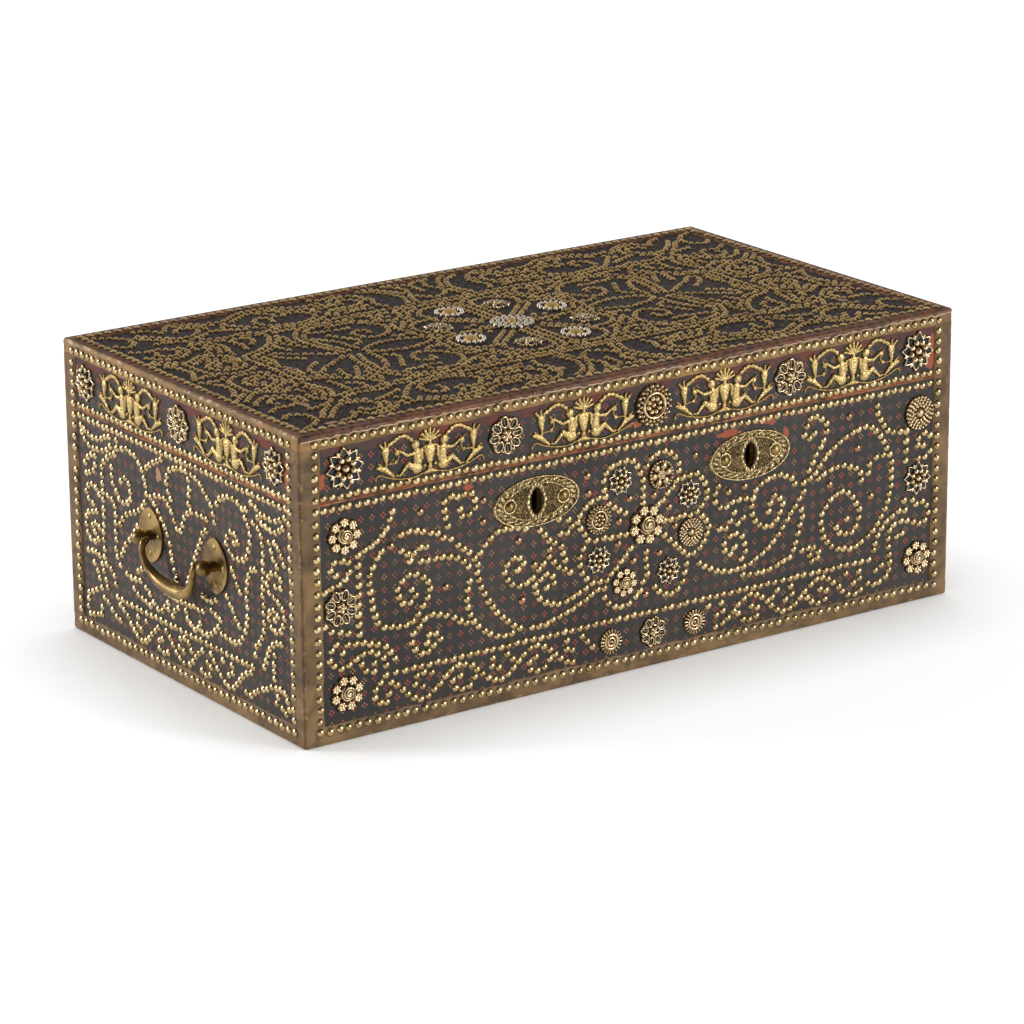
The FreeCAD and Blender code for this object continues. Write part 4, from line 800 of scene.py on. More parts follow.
# Vines along the bottom: start, number of half waves, height of the middle, reach, length of a half wave
FRONT_VINE = (86, 5, 35, 12.5, 42)
END_VINE = (92, 3, 35, 12.5, 39)
END_ROW_INSET = 88.0

# Curl in a vine's half wave, as shares of half its length and of the reach
CURL = [
    (1.05, 0.16), (0.71, -0.4), (0.52, -0.8), (0.19, -1), (-0.14, -1), (-0.38, -0.64), (-0.33, -0.08),
    (0, 0.08),
]


def vine(start, count, middle, reach, half_wave):
    """Lines of a running vine that starts on a crest, with a curl in each half wave after it."""
    wave = []
    for i in range(4 * count + 1):
        wave.append((start + half_wave * i / 4, middle + reach * math.cos(math.pi * i / 4)))
    lines = [wave]
    for k in range(1, count + 1):
        sign = 1 if k % 2 == 0 else -1
        centre = start + half_wave * k
        lines.append([(centre + 0.5 * half_wave * u, middle + sign * reach * v) for u, v in CURL])
    return lines


def front_scrolls(studs):
    for u in spread(PANEL_ROW_INSET, LENGTH - PANEL_ROW_INSET, SEAM_PITCH):
        studs.add(FRONT, u, PANEL_ROW_Z)
    for u, low, high in FRONT_COLUMNS:
        for v in spread(low, high, SIDE_PITCH):
            studs.add(FRONT, u, v, 0.0, SIDE_STUD_R, SIDE_STUD_RISE)
    for u, v in FRONT_COPPER:
        studs.add(FRONT, u, v, 0.0, COPPER_STUD_R, SCROLL_STUD_RISE, 1.0)
    for points in FRONT_SCROLLS:
        studs.line(FRONT, points)
    for points in vine(*FRONT_VINE):
        studs.line(FRONT, points)
        studs.line(FRONT, [(2 * cluster_u - u, v) for u, v in points])


def end_scrolls(studs, face):
    for u in spread(END_ROW_INSET, DEPTH - END_ROW_INSET, SEAM_PITCH):
        studs.add(face, u, PANEL_ROW_Z)
    for points in END_SCROLLS:
        studs.line(face, [(u if face is LEFT else DEPTH - u, v) for u, v in points])
    for points in vine(*END_VINE):
        studs.line(face, points)
        studs.line(face, [(DEPTH - u, v) for u, v in points])


# Scrolls of a quarter of the top, as points from the left and front edges; the other quarters mirror them
# In the border: rows laid double, then single ones
BORDER_DOUBLE = [
    [(60, 40), (75, 58), (90, 70), (108, 66), (118, 54), (114, 42), (102, 40), (97, 48)],
    [(183, 81), (195, 86), (215, 88), (233, 80), (239, 70), (236, 60), (228, 52), (218, 50), (212, 57)],
    [(140, 38), (152, 40), (164, 34), (176, 26), (195, 22), (220, 26), (232, 34), (245, 39), (262, 38)],
    [(248, 82), (254, 71), (264, 66), (291, 66), (300, 57), (299, 46), (290, 40), (281, 44), (281, 53)],
    [(338, 86), (344, 66), (340, 48), (330, 32), (318, 25)],
    [(72, 150), (86, 160), (92, 172), (90, 186), (80, 194), (66, 192), (57, 182), (58, 170), (67, 164)],
    [(26, 128), (38, 140), (50, 148), (60, 142), (72, 134), (80, 142)],
]
BORDER_SINGLE = [
    [(22, 22), (36, 30), (46, 44), (44, 60), (32, 68), (24, 60)],
    [(60, 74), (72, 76), (84, 80), (90, 88)],
    [(64, 24), (78, 30), (86, 42), (96, 28), (108, 24), (122, 30), (132, 42)],
    [(125, 64), (140, 70), (156, 78)],
    [(142, 60), (150, 54), (146, 46), (154, 62), (162, 72), (172, 84)],
    [(180, 80), (176, 72), (176, 63), (181, 55), (190, 51), (196, 58), (194, 68)],
    [(196, 36), (206, 44), (204, 54)],
    [(262, 24), (276, 28), (288, 24), (302, 30), (312, 42), (314, 58), (308, 72), (312, 84)],
    [(244, 48), (252, 56), (264, 54), (272, 46)],
    [(268, 84), (282, 80), (296, 84)],
    [(356, 28), (362, 44), (356, 60), (362, 76), (374, 84)],
    [(350, 22), (364, 24), (374, 34), (374, 56)],
    [(26, 86), (38, 94), (52, 92), (62, 100), (62, 114), (50, 120), (40, 112), (44, 104)],
    [(26, 112), (34, 122), (48, 130), (62, 124), (72, 112), (70, 98)],
    [(26, 150), (34, 164), (36, 180), (30, 194), (24, 204)],
    [(44, 152), (44, 170), (46, 188), (54, 200), (68, 206), (84, 204), (92, 198)],
    [(26, 206), (40, 200), (50, 208)],
    [(84, 126), (84, 140), (92, 150)],
]
# In the middle: rows laid double, then single ones
MIDDLE_DOUBLE = [
    [(158, 96), (half_length, 96)],
    [(103, half_depth), (103, 163), (127, 151), (142, 140), (150, 131), (157, 119), (161, 106), (158, 96)],
    [(98, 96), (104, 107), (107, 120), (103, 133), (100, 150), (103, 163)],
    [(83, 121), (81, 108), (84, 96), (92, 88), (100, 83), (112, 90), (128, 93), (146, 89), (158, 96)],
    [(186, 203), (180, 183), (177, 165), (175, 145), (182, 126), (194, 111), (210, 104), (230, 103),
     (248, 109), (262, 119), (278, 129), (290, 133), (300, 128), (306, 118), (301, 107), (290, 106),
     (285, 115), (291, 121)],
    [(366, 190), (366, 130), (358, 119), (342, 115), (326, 123), (319, 137), (325, 152)],
    [(325, 152), (310, 153), (296, 157), (287, 168), (287, 185), (294, 198), (308, 201)],
    [(352, 190), (337, 176), (325, 164), (316, 155)],
]
MIDDLE_SINGLE = [
    [(222, 121), (235, 117), (250, 118), (262, 127), (270, 142), (267, 158), (256, 171), (243, 175),
     (232, 167), (229, 155), (236, 146), (245, 148), (246, 156)],
    [(205, 198), (204, 178), (199, 163), (192, 151), (182, 144)],
    [(196, 126), (206, 131), (218, 131), (228, 134), (238, 132)],
    [(208, 207), (221, 198), (244, 193), (266, 198), (282, 207)],
    [(258, 182), (266, 186), (274, 184), (280, 196)],
    [(178, 204), (166, 196), (154, 187), (143, 181), (136, 172), (128, 169), (126, 178), (133, 190),
     (146, 200)],
    [(150, 166), (146, 152), (147, 138)],
    [(168, 166), (161, 151), (152, 138)],
    [(121, 138), (124, 124), (122, 110), (132, 103), (142, 108), (140, 120), (133, 126)],
    [(116, 176), (118, 190), (114, 204)],
    [(214, 186), (222, 178), (218, 166), (212, 156), (208, 146)],
    [(166, 118), (170, 130), (166, 142), (170, 154)],
    [(274, 168), (276, 152), (282, 142), (296, 146), (306, 142)],
    [(316, 208), (332, 208), (350, 206)],
    [(340, 196), (330, 200)],
]


def top_scrolls(border, middle):
    """All four quarters, mirrored from the drawn one; a row laid double has a second row beside it."""
    plans = ((border, BORDER_DOUBLE, BORDER_SINGLE), (middle, MIDDLE_DOUBLE, MIDDLE_SINGLE))
    for flip_u in (False, True):
        for flip_v in (False, True):
            for studs, double, single in plans:
                rows = [(points, 0.0) for points in double + single]
                rows += [(points, DOUBLE_ROW_PITCH) for points in double]
                for points, beside in rows:
                    flipped = [(LENGTH - u if flip_u else u, DEPTH - v if flip_v else v) for u, v in points]
                    studs.line(TOP, flipped, -beside if flip_u != flip_v else beside)


# Rosettes: each style gives an outline, and at shares of the radius a height, how much of it is high metal,
# and how much has the second colour
def petal_share(theta, count):
    """-1 to 1 across each of count petals, 0 along its middle."""
    return ((theta * count / math.pi + 1) % 2) - 1


def ball(gap):
    """0 to 1: the height of a round grain at a share of its radius from its middle."""
    return np.sqrt(np.clip(1 - gap**2, 0, 1))


def petal_frame(rho, theta, count, ring):
    """Positions off the middle of the nearest of count petals that stand on a ring."""
    delta = petal_share(theta, count) * math.pi / count
    return rho * np.cos(delta) - ring, rho * np.sin(delta)


def beads(rho, theta, count, ring, radius):
    """0 to 1: count round grains on a ring."""
    return ball(np.hypot(*petal_frame(rho, theta, count, ring)) / radius)


def grain_lobes(rho, theta, count, ring, size):
    """Lobes of a grain with six grains round it."""
    x, y = petal_frame(rho, theta, count, ring)
    best = ball(np.hypot(x, y) / (0.42 * size))
    for i in range(6):
        turn = math.pi * i / 3
        gap = np.hypot(x - 0.66 * size * math.cos(turn), y - 0.66 * size * math.sin(turn))
        best = np.maximum(best, 0.9 * ball(gap / (0.4 * size)))
    return best


def band(rho, middle, half):
    """0 to 1: a rounded ring."""
    return ball((rho - middle) / half)


def lobed(count, depth):
    """An outline of count round lobes, with notches of a depth between them."""
    return lambda theta: 1 - depth + depth * np.sqrt(1 - np.abs(petal_share(theta, count)) ** 2.2)


def granulated(rho, theta):
    """Eight granulated lobes round a rose of turned petals."""
    lobes = grain_lobes(rho, theta, 8, 0.73, 0.27)
    rose = 0.5 + 0.5 * np.cos(2 * math.pi * rho / 0.13 + 2 * theta)
    middle = ball(rho / 0.15)
    inner = rho < 0.44
    raised = 0.12 + 0.05 * rose + 0.16 * ball(rho / 0.46) + 0.08 * middle
    height = np.where(inner, raised, 0.04 + 0.16 * lobes)
    return height, np.where(inner, np.maximum(0.8 * rose, middle), lobes), 0 * rho


def star_points(theta):
    return 0.6 + 0.4 * (1 - np.abs(petal_share(theta, 8))) ** 0.9


def star_outline(theta):
    leaves = 0.86 * ball(petal_share(theta + math.pi / 8, 8) / 0.5)
    return np.maximum(star_points(theta), leaves)


def star(rho, theta):
    """Pointed blue petals with gilt rims and small leaves between them, round a ring of beads."""
    points = star_points(theta)
    rim = np.clip(1 - np.abs(rho / points - 0.93) / 0.1, 0, 1)
    hollow = (rho / points < 0.85) & (rho > 0.5)
    leaf = ball(petal_share(theta + math.pi / 8, 8) / 0.4) * (rho > 0.62)
    round_beads = beads(rho, theta + math.pi / 8, 8, 0.43, 0.165)
    middle = ball(rho / 0.19)
    height = 0.05 + 0.09 * np.maximum(rim, leaf) + 0.24 * round_beads + 0.28 * middle
    high = np.maximum.reduce([rim, 0.8 * leaf, round_beads, middle])
    return height, high, np.where(hollow, 0.85 * (1 - round_beads) * (1 - leaf), 0.0)


def flower(rho, theta):
    """Oval hollow petals with wire rims and midribs, beads between them, round a cluster of grains."""
    x, y = petal_frame(rho, theta, 8, 0.68)
    gap = np.hypot(x / 0.32, y / 0.23)
    rim = np.clip(1 - np.abs(gap - 0.86) / 0.24, 0, 1)
    rib = np.clip(1 - np.abs(y) / 0.035, 0, 1) * (gap < 0.7)
    between = beads(rho, theta + math.pi / 8, 8, 0.84, 0.1)
    inner = beads(rho, theta, 5, 0.2, 0.13)
    middle = ball(rho / 0.12)
    height = 0.05 + 0.13 * np.maximum(rim, 0.5 * rib) + 0.15 * between + 0.22 * inner + 0.3 * middle
    high = np.maximum.reduce([rim, 0.5 * rib, 0.8 * between, inner, middle])
    return height, high, np.where(gap < 0.68, 0.6 * (1 - rib), 0.0)


def pearl(rho, theta):
    """A ring of pale pearls round a dark groove and a smooth gilt dome."""
    pearls = beads(rho, theta, 15, 0.86, 0.14)
    dome = ball(rho / 0.5)
    height = 0.04 + 0.22 * pearls + 0.32 * dome
    return height, np.maximum(pearls, 0.9 * dome), np.where(rho < 0.52, 1.0, 0.0)


def sun(rho, theta):
    """Short rays round a groove, a plain ring and a button."""
    rays = np.cos(petal_share(theta, 20) * math.pi / 2) ** 2 * (rho > 0.64)
    high = np.maximum.reduce([0.8 * rays, band(rho, 0.56, 0.1), band(rho, 0.3, 0.1), ball(rho / 0.13)])
    return 0.05 + 0.2 * high, high, 0 * rho


def lace(rho, theta):
    """A border of small grains round a plain ring, with eight gilt petals in it."""
    border = np.maximum(beads(rho, theta, 20, 0.91, 0.1), beads(rho, theta + math.pi / 20, 20, 0.75, 0.09))
    petals = beads(rho, theta, 8, 0.32, 0.13)
    high = np.maximum.reduce([0.85 * border, band(rho, 0.58, 0.07), petals, 0.7 * ball(rho / 0.14)])
    return 0.05 + 0.2 * high, high, 0 * rho


def daisy(rho, theta):
    """A beaded edge round six pale domes and a cluster of grains."""
    edge = beads(rho, theta, 24, 0.9, 0.1)
    domes = beads(rho, theta, 6, 0.58, 0.27)
    grains = grain_lobes(rho, theta, 6, 0.2, 0.16) * (rho < 0.36)
    high = np.maximum.reduce([edge, 0.7 * domes, grains])
    return 0.05 + 0.2 * np.maximum(high, domes), high, 0 * rho


def bristle(rho, theta):
    """Rings of grains round a pale boss."""
    grains = 0 * rho
    for i, (count, ring) in enumerate(((23, 0.9), (19, 0.73), (15, 0.56), (11, 0.4))):
        grains = np.maximum(grains, beads(rho, theta + 0.1 * i, count, ring, 0.1))
    boss = ball(rho / 0.27)
    return 0.05 + 0.15 * grains + 0.24 * boss, np.maximum(grains, 0.75 * boss), 0 * rho


def burst(rho, theta):
    """Three rings of small grains round a gilt boss."""
    rings = ((18, 0.88, 0.12), (14, 0.63, 0.11), (9, 0.4, 0.1))
    grains = np.maximum.reduce([beads(rho, theta, *ring) for ring in rings])
    boss = ball(rho / 0.2)
    height = 0.04 + 0.14 * grains + 0.22 * boss
    return height, np.maximum(0.72 * grains, boss), np.where(rho < 0.24, 1.0, 0.0)


STYLES = {
    "granulated": (lobed(8, 0.17), granulated),
    "star": (star_outline, star),
    "flower": (lobed(8, 0.13), flower),
    "pearl": (lobed(15, 0.07), pearl),
    "burst": (lobed(13, 0.08), burst),
    "sun": (lobed(20, 0.1), sun),
    "lace": (lobed(20, 0.06), lace),
    "daisy": (lobed(24, 0.06), daisy),
    "bristle": (lobed(23, 0.08), bristle),
}


def add_rosette(gather, face, u, v, radius, style, turn=0.0):
    """A rosette of a style on a face, its edge brought down to the leather."""
    outline, relief = STYLES[style]
    theta = np.linspace(0, 2 * math.pi, ROSETTE_SEGMENTS, endpoint=False)
    shares = np.append(np.linspace(0, 1, ROSETTE_RINGS), 1.0)
    rho = shares[:, None] * outline(theta)[None, :]
    height, high, second = relief(rho, np.broadcast_to(theta, rho.shape))
    height = np.where(shares[:, None] > 0.99, np.minimum(height, 0.06), height) * radius
    height[-1] = 0.0
    x, y = rho * np.cos(theta + turn) * radius, rho * np.sin(theta + turn) * radius
    faces = grid_faces(len(shares), ROSETTE_SEGMENTS, True)
    gather.add(face.at(u + x, v + y, height), faces, high=high.ravel(), second=second.ravel())


def front_rosette_spots():
    """(u, v, radius, style) of the rosettes on the base's front."""
    upper_z = rim_z - UPPER_ROSETTE_DROP
    right_u = LENGTH - RIGHT_ROSETTE_INSET
    sun_u = cluster_u + SUN_SHIFT
    spots = [
        (ROSETTE_INSET, upper_z, EDGE_ROSETTE_R, "granulated"),
        (ROSETTE_INSET, LOWER_ROSETTE_Z, EDGE_ROSETTE_R, "granulated"),
        (right_u, upper_z, EDGE_ROSETTE_R, "bristle"),
        (right_u, LOWER_ROSETTE_Z, EDGE_ROSETTE_R, "granulated"),
        (MIDDLE_ROSETTE_INSET, MIDDLE_ROSETTE_Z, EDGE_ROSETTE_R, "flower"),
        (LENGTH - MIDDLE_ROSETTE_INSET, MIDDLE_ROSETTE_Z, EDGE_ROSETTE_R, "star"),
        (cluster_u, CLUSTER_Z, BIG_ROSETTE_R, "granulated"),
        (sun_u, SUN_ROSETTE_Z, FLOWER_ROSETTE_R, "flower"),
        (sun_u - SUN_SPACING, SUN_ROSETTE_Z, SUN_ROSETTE_R, "sun"),
        (sun_u + SUN_SPACING, SUN_ROSETTE_Z, SUN_ROSETTE_R, "sun"),
    ]
    ring_styles = ("star", "daisy", "star", "lace", "star", "granulated", "star", "bristle")
    for (across, up), style in zip(CLUSTER_SPOTS, ring_styles):
        spots.append((cluster_u + across, CLUSTER_Z + up, CLUSTER_ROSETTE_R, style))
    return spots


def top_rosette_spots():
    """(u, v, radius, style) of the rosette in the middle of the top and the ring round it."""
    spots = [(half_length, half_depth, TOP_CENTRE_ROSETTE_R, "burst")]
    for i in range(TOP_RING_COUNT):
        angle = 2 * math.pi * (i + 0.5) / TOP_RING_COUNT
        u = half_length + TOP_RING_R * math.cos(angle)
        v = half_depth + TOP_RING_R * math.sin(angle)
        spots.append((u, v, TOP_RING_ROSETTE_R, ("pearl", "star")[i % 2]))
    return spots


def lid_spots(face, front_shares, end_shares):
    """Where the ornaments stand along the lid's side."""
    if face is FRONT:
        return [share * LENGTH for share in front_shares]
    return [(share if face is LEFT else 1 - share) * DEPTH for share in end_shares]


# Plaques: an urn between two seated figures, drawn as tapered strokes, left half only
# Each stroke is (start, end, start radius, end radius, rise)
URN_STROKES = [
    # body, neck, side, its curl, foot, base
    ((0, 1.2), (0, -8), 6.0, 3.2, 2.2),
    ((0, 4), (0, 9.5), 2.6, 1.6, 1.8),
    ((-8.8, 2.5), (-8.2, -5.5), 1.8, 1.2, 1.4),
    ((-8, 4.2), (-4.5, 5.6), 1.1, 0.9, 1.2),
    ((0, -12), (0, -15), 1.8, 2.4, 1.6),
    ((0, -18), (-6, -19.5), 2.6, 1.4, 1.4),
    # leaves that stand in it
    ((0, 11), (0, 20.5), 1.1, 1.7, 1.6),
    ((-0.8, 11), (-4.8, 19.5), 1.0, 1.6, 1.5),
    ((-1.5, 10.5), (-8.8, 17), 1.0, 1.6, 1.5),
    ((-2, 10), (-11, 13), 0.9, 1.4, 1.4),
]
FIGURE_STROKES = [
    # head, neck, back, seat
    ((-15.7, 8.8), (-15.5, 8.2), 4.1, 3.9, 2.8),
    ((-14.6, 4), (-15, 6), 1.8, 1.8, 1.8),
    ((-14, 1.5), (-13, -8), 3.8, 4.4, 2.4),
    ((-13.4, -13.5), (-14.5, -14), 4.9, 4.7, 2.6),
    # thigh, shin, foot, arm
    ((-15, -14), (-23.4, -8.5), 3.7, 2.7, 2.6),
    ((-23.4, -8.5), (-32.5, -17), 2.5, 1.5, 2.0),
    ((-32.5, -17.5), (-36.5, -17), 1.5, 1.0, 1.2),
    ((-16, 1), (-24.5, 0), 2.2, 1.7, 2.0),
    ((-24.5, 0), (-33.5, 6), 1.7, 1.3, 1.8),
    # horn with its sprays
    ((-47.3, 7.5), (-47, -3.5), 4.0, 1.2, 2.0),
    ((-49, 9.5), (-53.5, 14.5), 1.5, 1.3, 1.3),
    ((-47.3, 10), (-48, 16.5), 1.5, 1.1, 1.3),
    ((-45.8, 9.5), (-42.5, 14), 1.5, 1.2, 1.3),
    # beast's head, neck and ear
    ((-56, -6.5), (-48, -9.5), 1.8, 2.9, 1.6),
    ((-48, -9.5), (-39, -17), 2.7, 1.3, 1.6),
    ((-52, -5.5), (-55.5, -2.5), 1.4, 0.8, 1.0),
]
# Single round knobs (along, up, radius): florets by the urn and the horn, then a fruit and a leaf by the hand
KNOBS = [(-5.8, -12.5, 2.0), (-47, -6, 1.6), (-35, 4, 3.2), (-36.5, -4.4, 2.3)]
GARLAND = [(-20, 14), (-26, 18), (-33.5, 18), (-40, 14.5), (-44, 13)]
BOAT = [
    (-2, -17.8), (-11, -20.5), (-21, -22), (-34, -20.5), (-45, -17.5), (-53, -14), (-57.5, -14.5),
    (-58, -18.5),
]
STEM = [(-37.5, 8.5), (-34.5, 4), (-33.6, 0), (-35, -3), (-39, -4.8), (-46, -5)]


def plaque_strokes():
    """All strokes of half a plaque, with its knobs, garland, boat and stem."""
    strokes = []
    for start, end, start_r, end_r, rise in URN_STROKES + FIGURE_STROKES:
        strokes.append((start, end, PLAQUE_WEIGHT * start_r, PLAQUE_WEIGHT * end_r, rise))
    for u, v, radius in KNOBS:
        strokes.append(((u, v), (u, v), radius, radius, 1.5))
    for i, (u, v) in enumerate(evenly(curve(GARLAND), GARLAND_PITCH)):
        radius = GARLAND_R[i % 2]
        strokes.append(((u, v), (u, v), radius, radius, 1.6))
    for line in (BOAT, STEM):
        stops = evenly(curve(line), PLAQUE_LINE_PITCH)
        for start, end in zip(stops, stops[1:]):
            strokes.append((tuple(start), tuple(end), PLAQUE_LINE_R, PLAQUE_LINE_R, 1.0))
    return strokes


def stroke_height(x, y, start, end, start_r, end_r, rise):
    """Height of one rounded tapered stroke on a plate edge; it falls below the leather outside."""
    run = (end[0] - start[0], end[1] - start[1])
    length2 = max(run[0] ** 2 + run[1] ** 2, 1e-9)
    t = np.clip(((x - start[0]) * run[0] + (y - start[1]) * run[1]) / length2, 0, 1)
    radius = start_r + (end_r - start_r) * t
    gap = np.hypot(x - start[0] - t * run[0], y - start[1] - t * run[1])
    crown = rise * np.sqrt(np.clip(1 - (gap / radius) ** 2, 0, 1))
    return np.clip(3 * (radius - gap), -0.5, 0.5) + crown


def plaque_form():
    """(x, y, height, faces, high) of a plaque on a grid, only where there is metal."""
    reach = PLAQUE_LENGTH / 2 + PLAQUE_MARGIN
    xs = np.arange(-reach, reach + RELIEF_CELL, RELIEF_CELL)
    ys = np.arange(PLAQUE_BOTTOM, PLAQUE_TOP, RELIEF_CELL)
    x, y = np.meshgrid(xs, ys)
    left = -np.abs(x)
    height = np.full(x.shape, -0.5)
    for stroke in plaque_strokes():
        height = np.maximum(height, stroke_height(left, y, *stroke))
    rounding = 0.05 * np.sin(1.9 * left) * np.sin(1.7 * y)
    height = np.where(height > 1.0, height + rounding, height)
    faces = [f for f in grid_faces(len(ys), len(xs), False) if max(height.flat[i] for i in f) > -0.45]
    return x.ravel(), y.ravel(), height.ravel(), faces, np.clip(height.ravel() / 2.4, 0, 1)


def only_used(verts, faces, *values):
    """Drops the vertices that no face uses."""
    used = sorted({i for face in faces for i in face})
    new = {old: i for i, old in enumerate(used)}
    return verts[used], [[new[i] for i in face] for face in faces], [value[used] for value in values]


# Escutcheons: an oval with a rim and leaves in its border, a stippled field, pearls round the keyhole,
# and cups for two nails
def escutcheon_form():
    half_l, half_h = ESCUTCHEON_L / 2, ESCUTCHEON_H / 2
    xs = np.arange(-half_l - 1, half_l + 1 + RELIEF_CELL, RELIEF_CELL)
    ys = np.arange(-half_h - 1, half_h + 1 + RELIEF_CELL, RELIEF_CELL)
    x, y = np.meshgrid(xs, ys)
    rho, theta = np.hypot(x / half_l, y / half_h), np.arctan2(y / half_h, x / half_l)
    across = (rho - 0.83) / 0.1
    leaves = ball(across) * np.abs(np.sin(13 * theta + 1.3 * across)) ** 0.6
    veins = 0.5 + 0.5 * np.cos(52 * theta + 6 * np.abs(across))
    lines = np.maximum(band(rho, 0.965, 0.035), 0.8 * band(rho, 0.705, 0.025))
    rows, columns = np.sin(2.6 * x + 0.8 * np.sin(1.3 * y)), np.sin(2.5 * y + 0.8 * np.sin(1.1 * x))
    stipple = np.clip(rows * columns, 0, 1)
    high = np.maximum(lines, leaves * (0.55 + 0.45 * veins))
    high = np.where(rho < 0.68, 0.15 + 0.6 * stipple, high)
    pearl_x, pearl_y = x / PEARLS_HALF_W, y / PEARLS_HALF_H
    almond = np.abs(pearl_x) ** 1.6 + np.abs(pearl_y) ** 1.6
    pearls = band(almond, 0.95, 0.3) * (0.35 + 0.65 * np.abs(np.cos(9 * np.arctan2(pearl_y, pearl_x))))
    high = np.where(almond < 1.25, np.maximum(pearls, 0.1), high)
    for cup_x in (-ESCUTCHEON_NAIL_X, ESCUTCHEON_NAIL_X):
        cup = np.hypot(x - cup_x, y)
        high = np.where(cup < NAIL_CUP_R, band(cup, 0.8 * NAIL_CUP_R, 1.3), high)
    height = 0.9 + 1.5 * high
    hole = (np.abs(x) / KEYHOLE_HALF_W) ** 2 + (np.abs(y) / KEYHOLE_HALF_H) ** 2.2
    edge_gap = np.minimum(1 - rho, 0.6 * (hole - 1))
    height = np.where(edge_gap < 0.02, np.minimum(height, 40 * edge_gap), height)
    height = np.maximum(height, -0.6)
    keep = (rho.ravel() < 1.03) & (hole.ravel() > 0.9)
    faces = [f for f in grid_faces(len(ys), len(xs), False) if all(keep[i] for i in f)]
    return x.ravel(), y.ravel(), height.ravel(), faces, np.clip(high.ravel(), 0, 1)


def add_relief(gather, face, u, v, form):
    x, y, height, faces, high = form
    verts, used_faces, (used_high,) = only_used(face.at(u + x, v + y, height), faces, high)
    gather.add(verts, used_faces, high=used_high, second=0.0)


# Edge bindings as strips of leather that wave a little and thin out at their edges

# Corners in the order of the loop, as signs of x and y
CORNERS = ((1, -1), (1, 1), (-1, 1), (-1, -1))


def waves(along, amount, phase):
    """A smooth irregular offset at a distance along a run."""
    long_wave = math.sin(along / 23 + phase)
    short_waves = 0.7 * math.sin(along / 9.1 + 2 * phase) + 0.45 * math.sin(along / 3.7 + 3 * phase)
    return amount * (long_wave + short_waves) / 2


def loop_stations(step):
    """(kind, number, angle or share, distance) round the trunk's outline, anticlockwise from above.

    Sides 0 to 3 are the right end, the back, the left end and the front, each after the corner of its number.
    """
    stations, distance = [], 0.0
    for i in range(len(CORNERS)):
        for angle in np.linspace(0, 90, 5):
            stations.append(("corner", i, angle, distance))
            distance += EDGE_ROUND * math.pi / 8
        run = DEPTH if i % 2 == 0 else LENGTH
        count = int((run - 2 * TOP_BINDING_W) / step)
        for j in range(count + 1):
            stations.append(("side", i, j / count, distance))
            distance += step
    return stations


def loop_point(station, inset):
    """The plan position of a station of the outline at a distance inside it."""
    kind, i, value, _ = station
    sx, sy = CORNERS[i]
    if kind == "corner":
        if inset >= EDGE_ROUND:
            return sx * (half_length - inset), sy * (half_depth - inset)
        turn = math.radians(value + 90 * i - 90)
        cx, cy = sx * (half_length - EDGE_ROUND), sy * (half_depth - EDGE_ROUND)
        return cx + (EDGE_ROUND - inset) * math.cos(turn), cy + (EDGE_ROUND - inset) * math.sin(turn)
    margin = max(TOP_BINDING_W, inset)
    if i % 2 == 0:
        along = (half_depth - margin) * (2 * value - 1) * -sy
        return sx * (half_length - inset), along
    along = (half_length - margin) * (1 - 2 * value) * sx
    return along, sy * (half_depth - inset)


def add_loop(gather, profile, step=5.0):
    """A strip swept round the trunk. Profile gives (inset, z, wear, over) rows at one of its stations."""
    stations = loop_stations(step)
    verts, wear, over = [], [], []
    for station in stations:
        for inset, z, worn, upper in profile(station):
            x, y = loop_point(station, inset)
            verts.append((x, y, z))
            wear.append(worn)
            over.append(upper)
    rows, columns = len(stations), len(verts) // len(stations)
    faces = []
    for r in range(rows):
        n = (r + 1) % rows
        for c in range(columns - 1):
            faces.append((r * columns + c, n * columns + c, n * columns + c + 1, r * columns + c + 1))
    gather.add(verts, faces, wear=wear, over=over)


def lapped(station):
    """1 where the top's brown leather laps down the side, on the front and back, and 0 on the ends."""
    kind, i, value, _ = station
    if kind == "side":
        return i % 2
    return value / 90 if i % 2 else 1 - value / 90


def top_profile(station):
    """From the inner edge on the top, over the rounded edge to a ragged lap, and down to the lower edge."""
    distance = station[3]
    inner = TOP_BINDING_W + waves(distance, 1.3, 0.4)
    ragged = 0.9 * math.sin(distance / 1.9) * math.sin(distance / 7.3)
    lap = HEIGHT - LAP_DROP + waves(distance, 1.0, 0.8) + ragged
    over = lapped(station)
    lower = HEIGHT - TOP_BINDING_DROP + waves(distance, 1.0, 1.7)
    swell = waves(distance, 0.12, 2.2)
    rows = [(inner + 0.4, HEIGHT - BINDING_T - 0.1, 0.1, 1), (inner, HEIGHT - 0.9, 0.2, 1)]
    rows += [(inner - 1.2, HEIGHT - 0.3, 0.1, 1), (inner * 0.6, HEIGHT - 0.2 + swell, 0.0, 1)]
    for angle in (0, 30, 60, 85):
        turn = math.radians(angle)
        worn, above = (0.0, 1) if angle == 0 else (0.6 * (1 - over), over)
        z = HEIGHT - EDGE_ROUND * (1 - math.cos(turn))
        rows.append((EDGE_ROUND * (1 - math.sin(turn)), z, worn, above))
    rows += [(0, lap + 1.1, 0.0, over), (0, lap + 0.9, over, over), (0, lap, over, over)]
    rows += [(0.4, lap - 0.2, 0.8 * over, 0), (0.4, lap - 0.5, 0.0, 0)]
    rows += [(0.3 - swell, (lap + lower) / 2, 0.0, 0), (0.4, lower + 1.2, 0.1, 0)]
    return rows + [(0.9, lower, 0.4, 0), (BINDING_T + 0.1, lower - 0.4, 0.2, 0)]


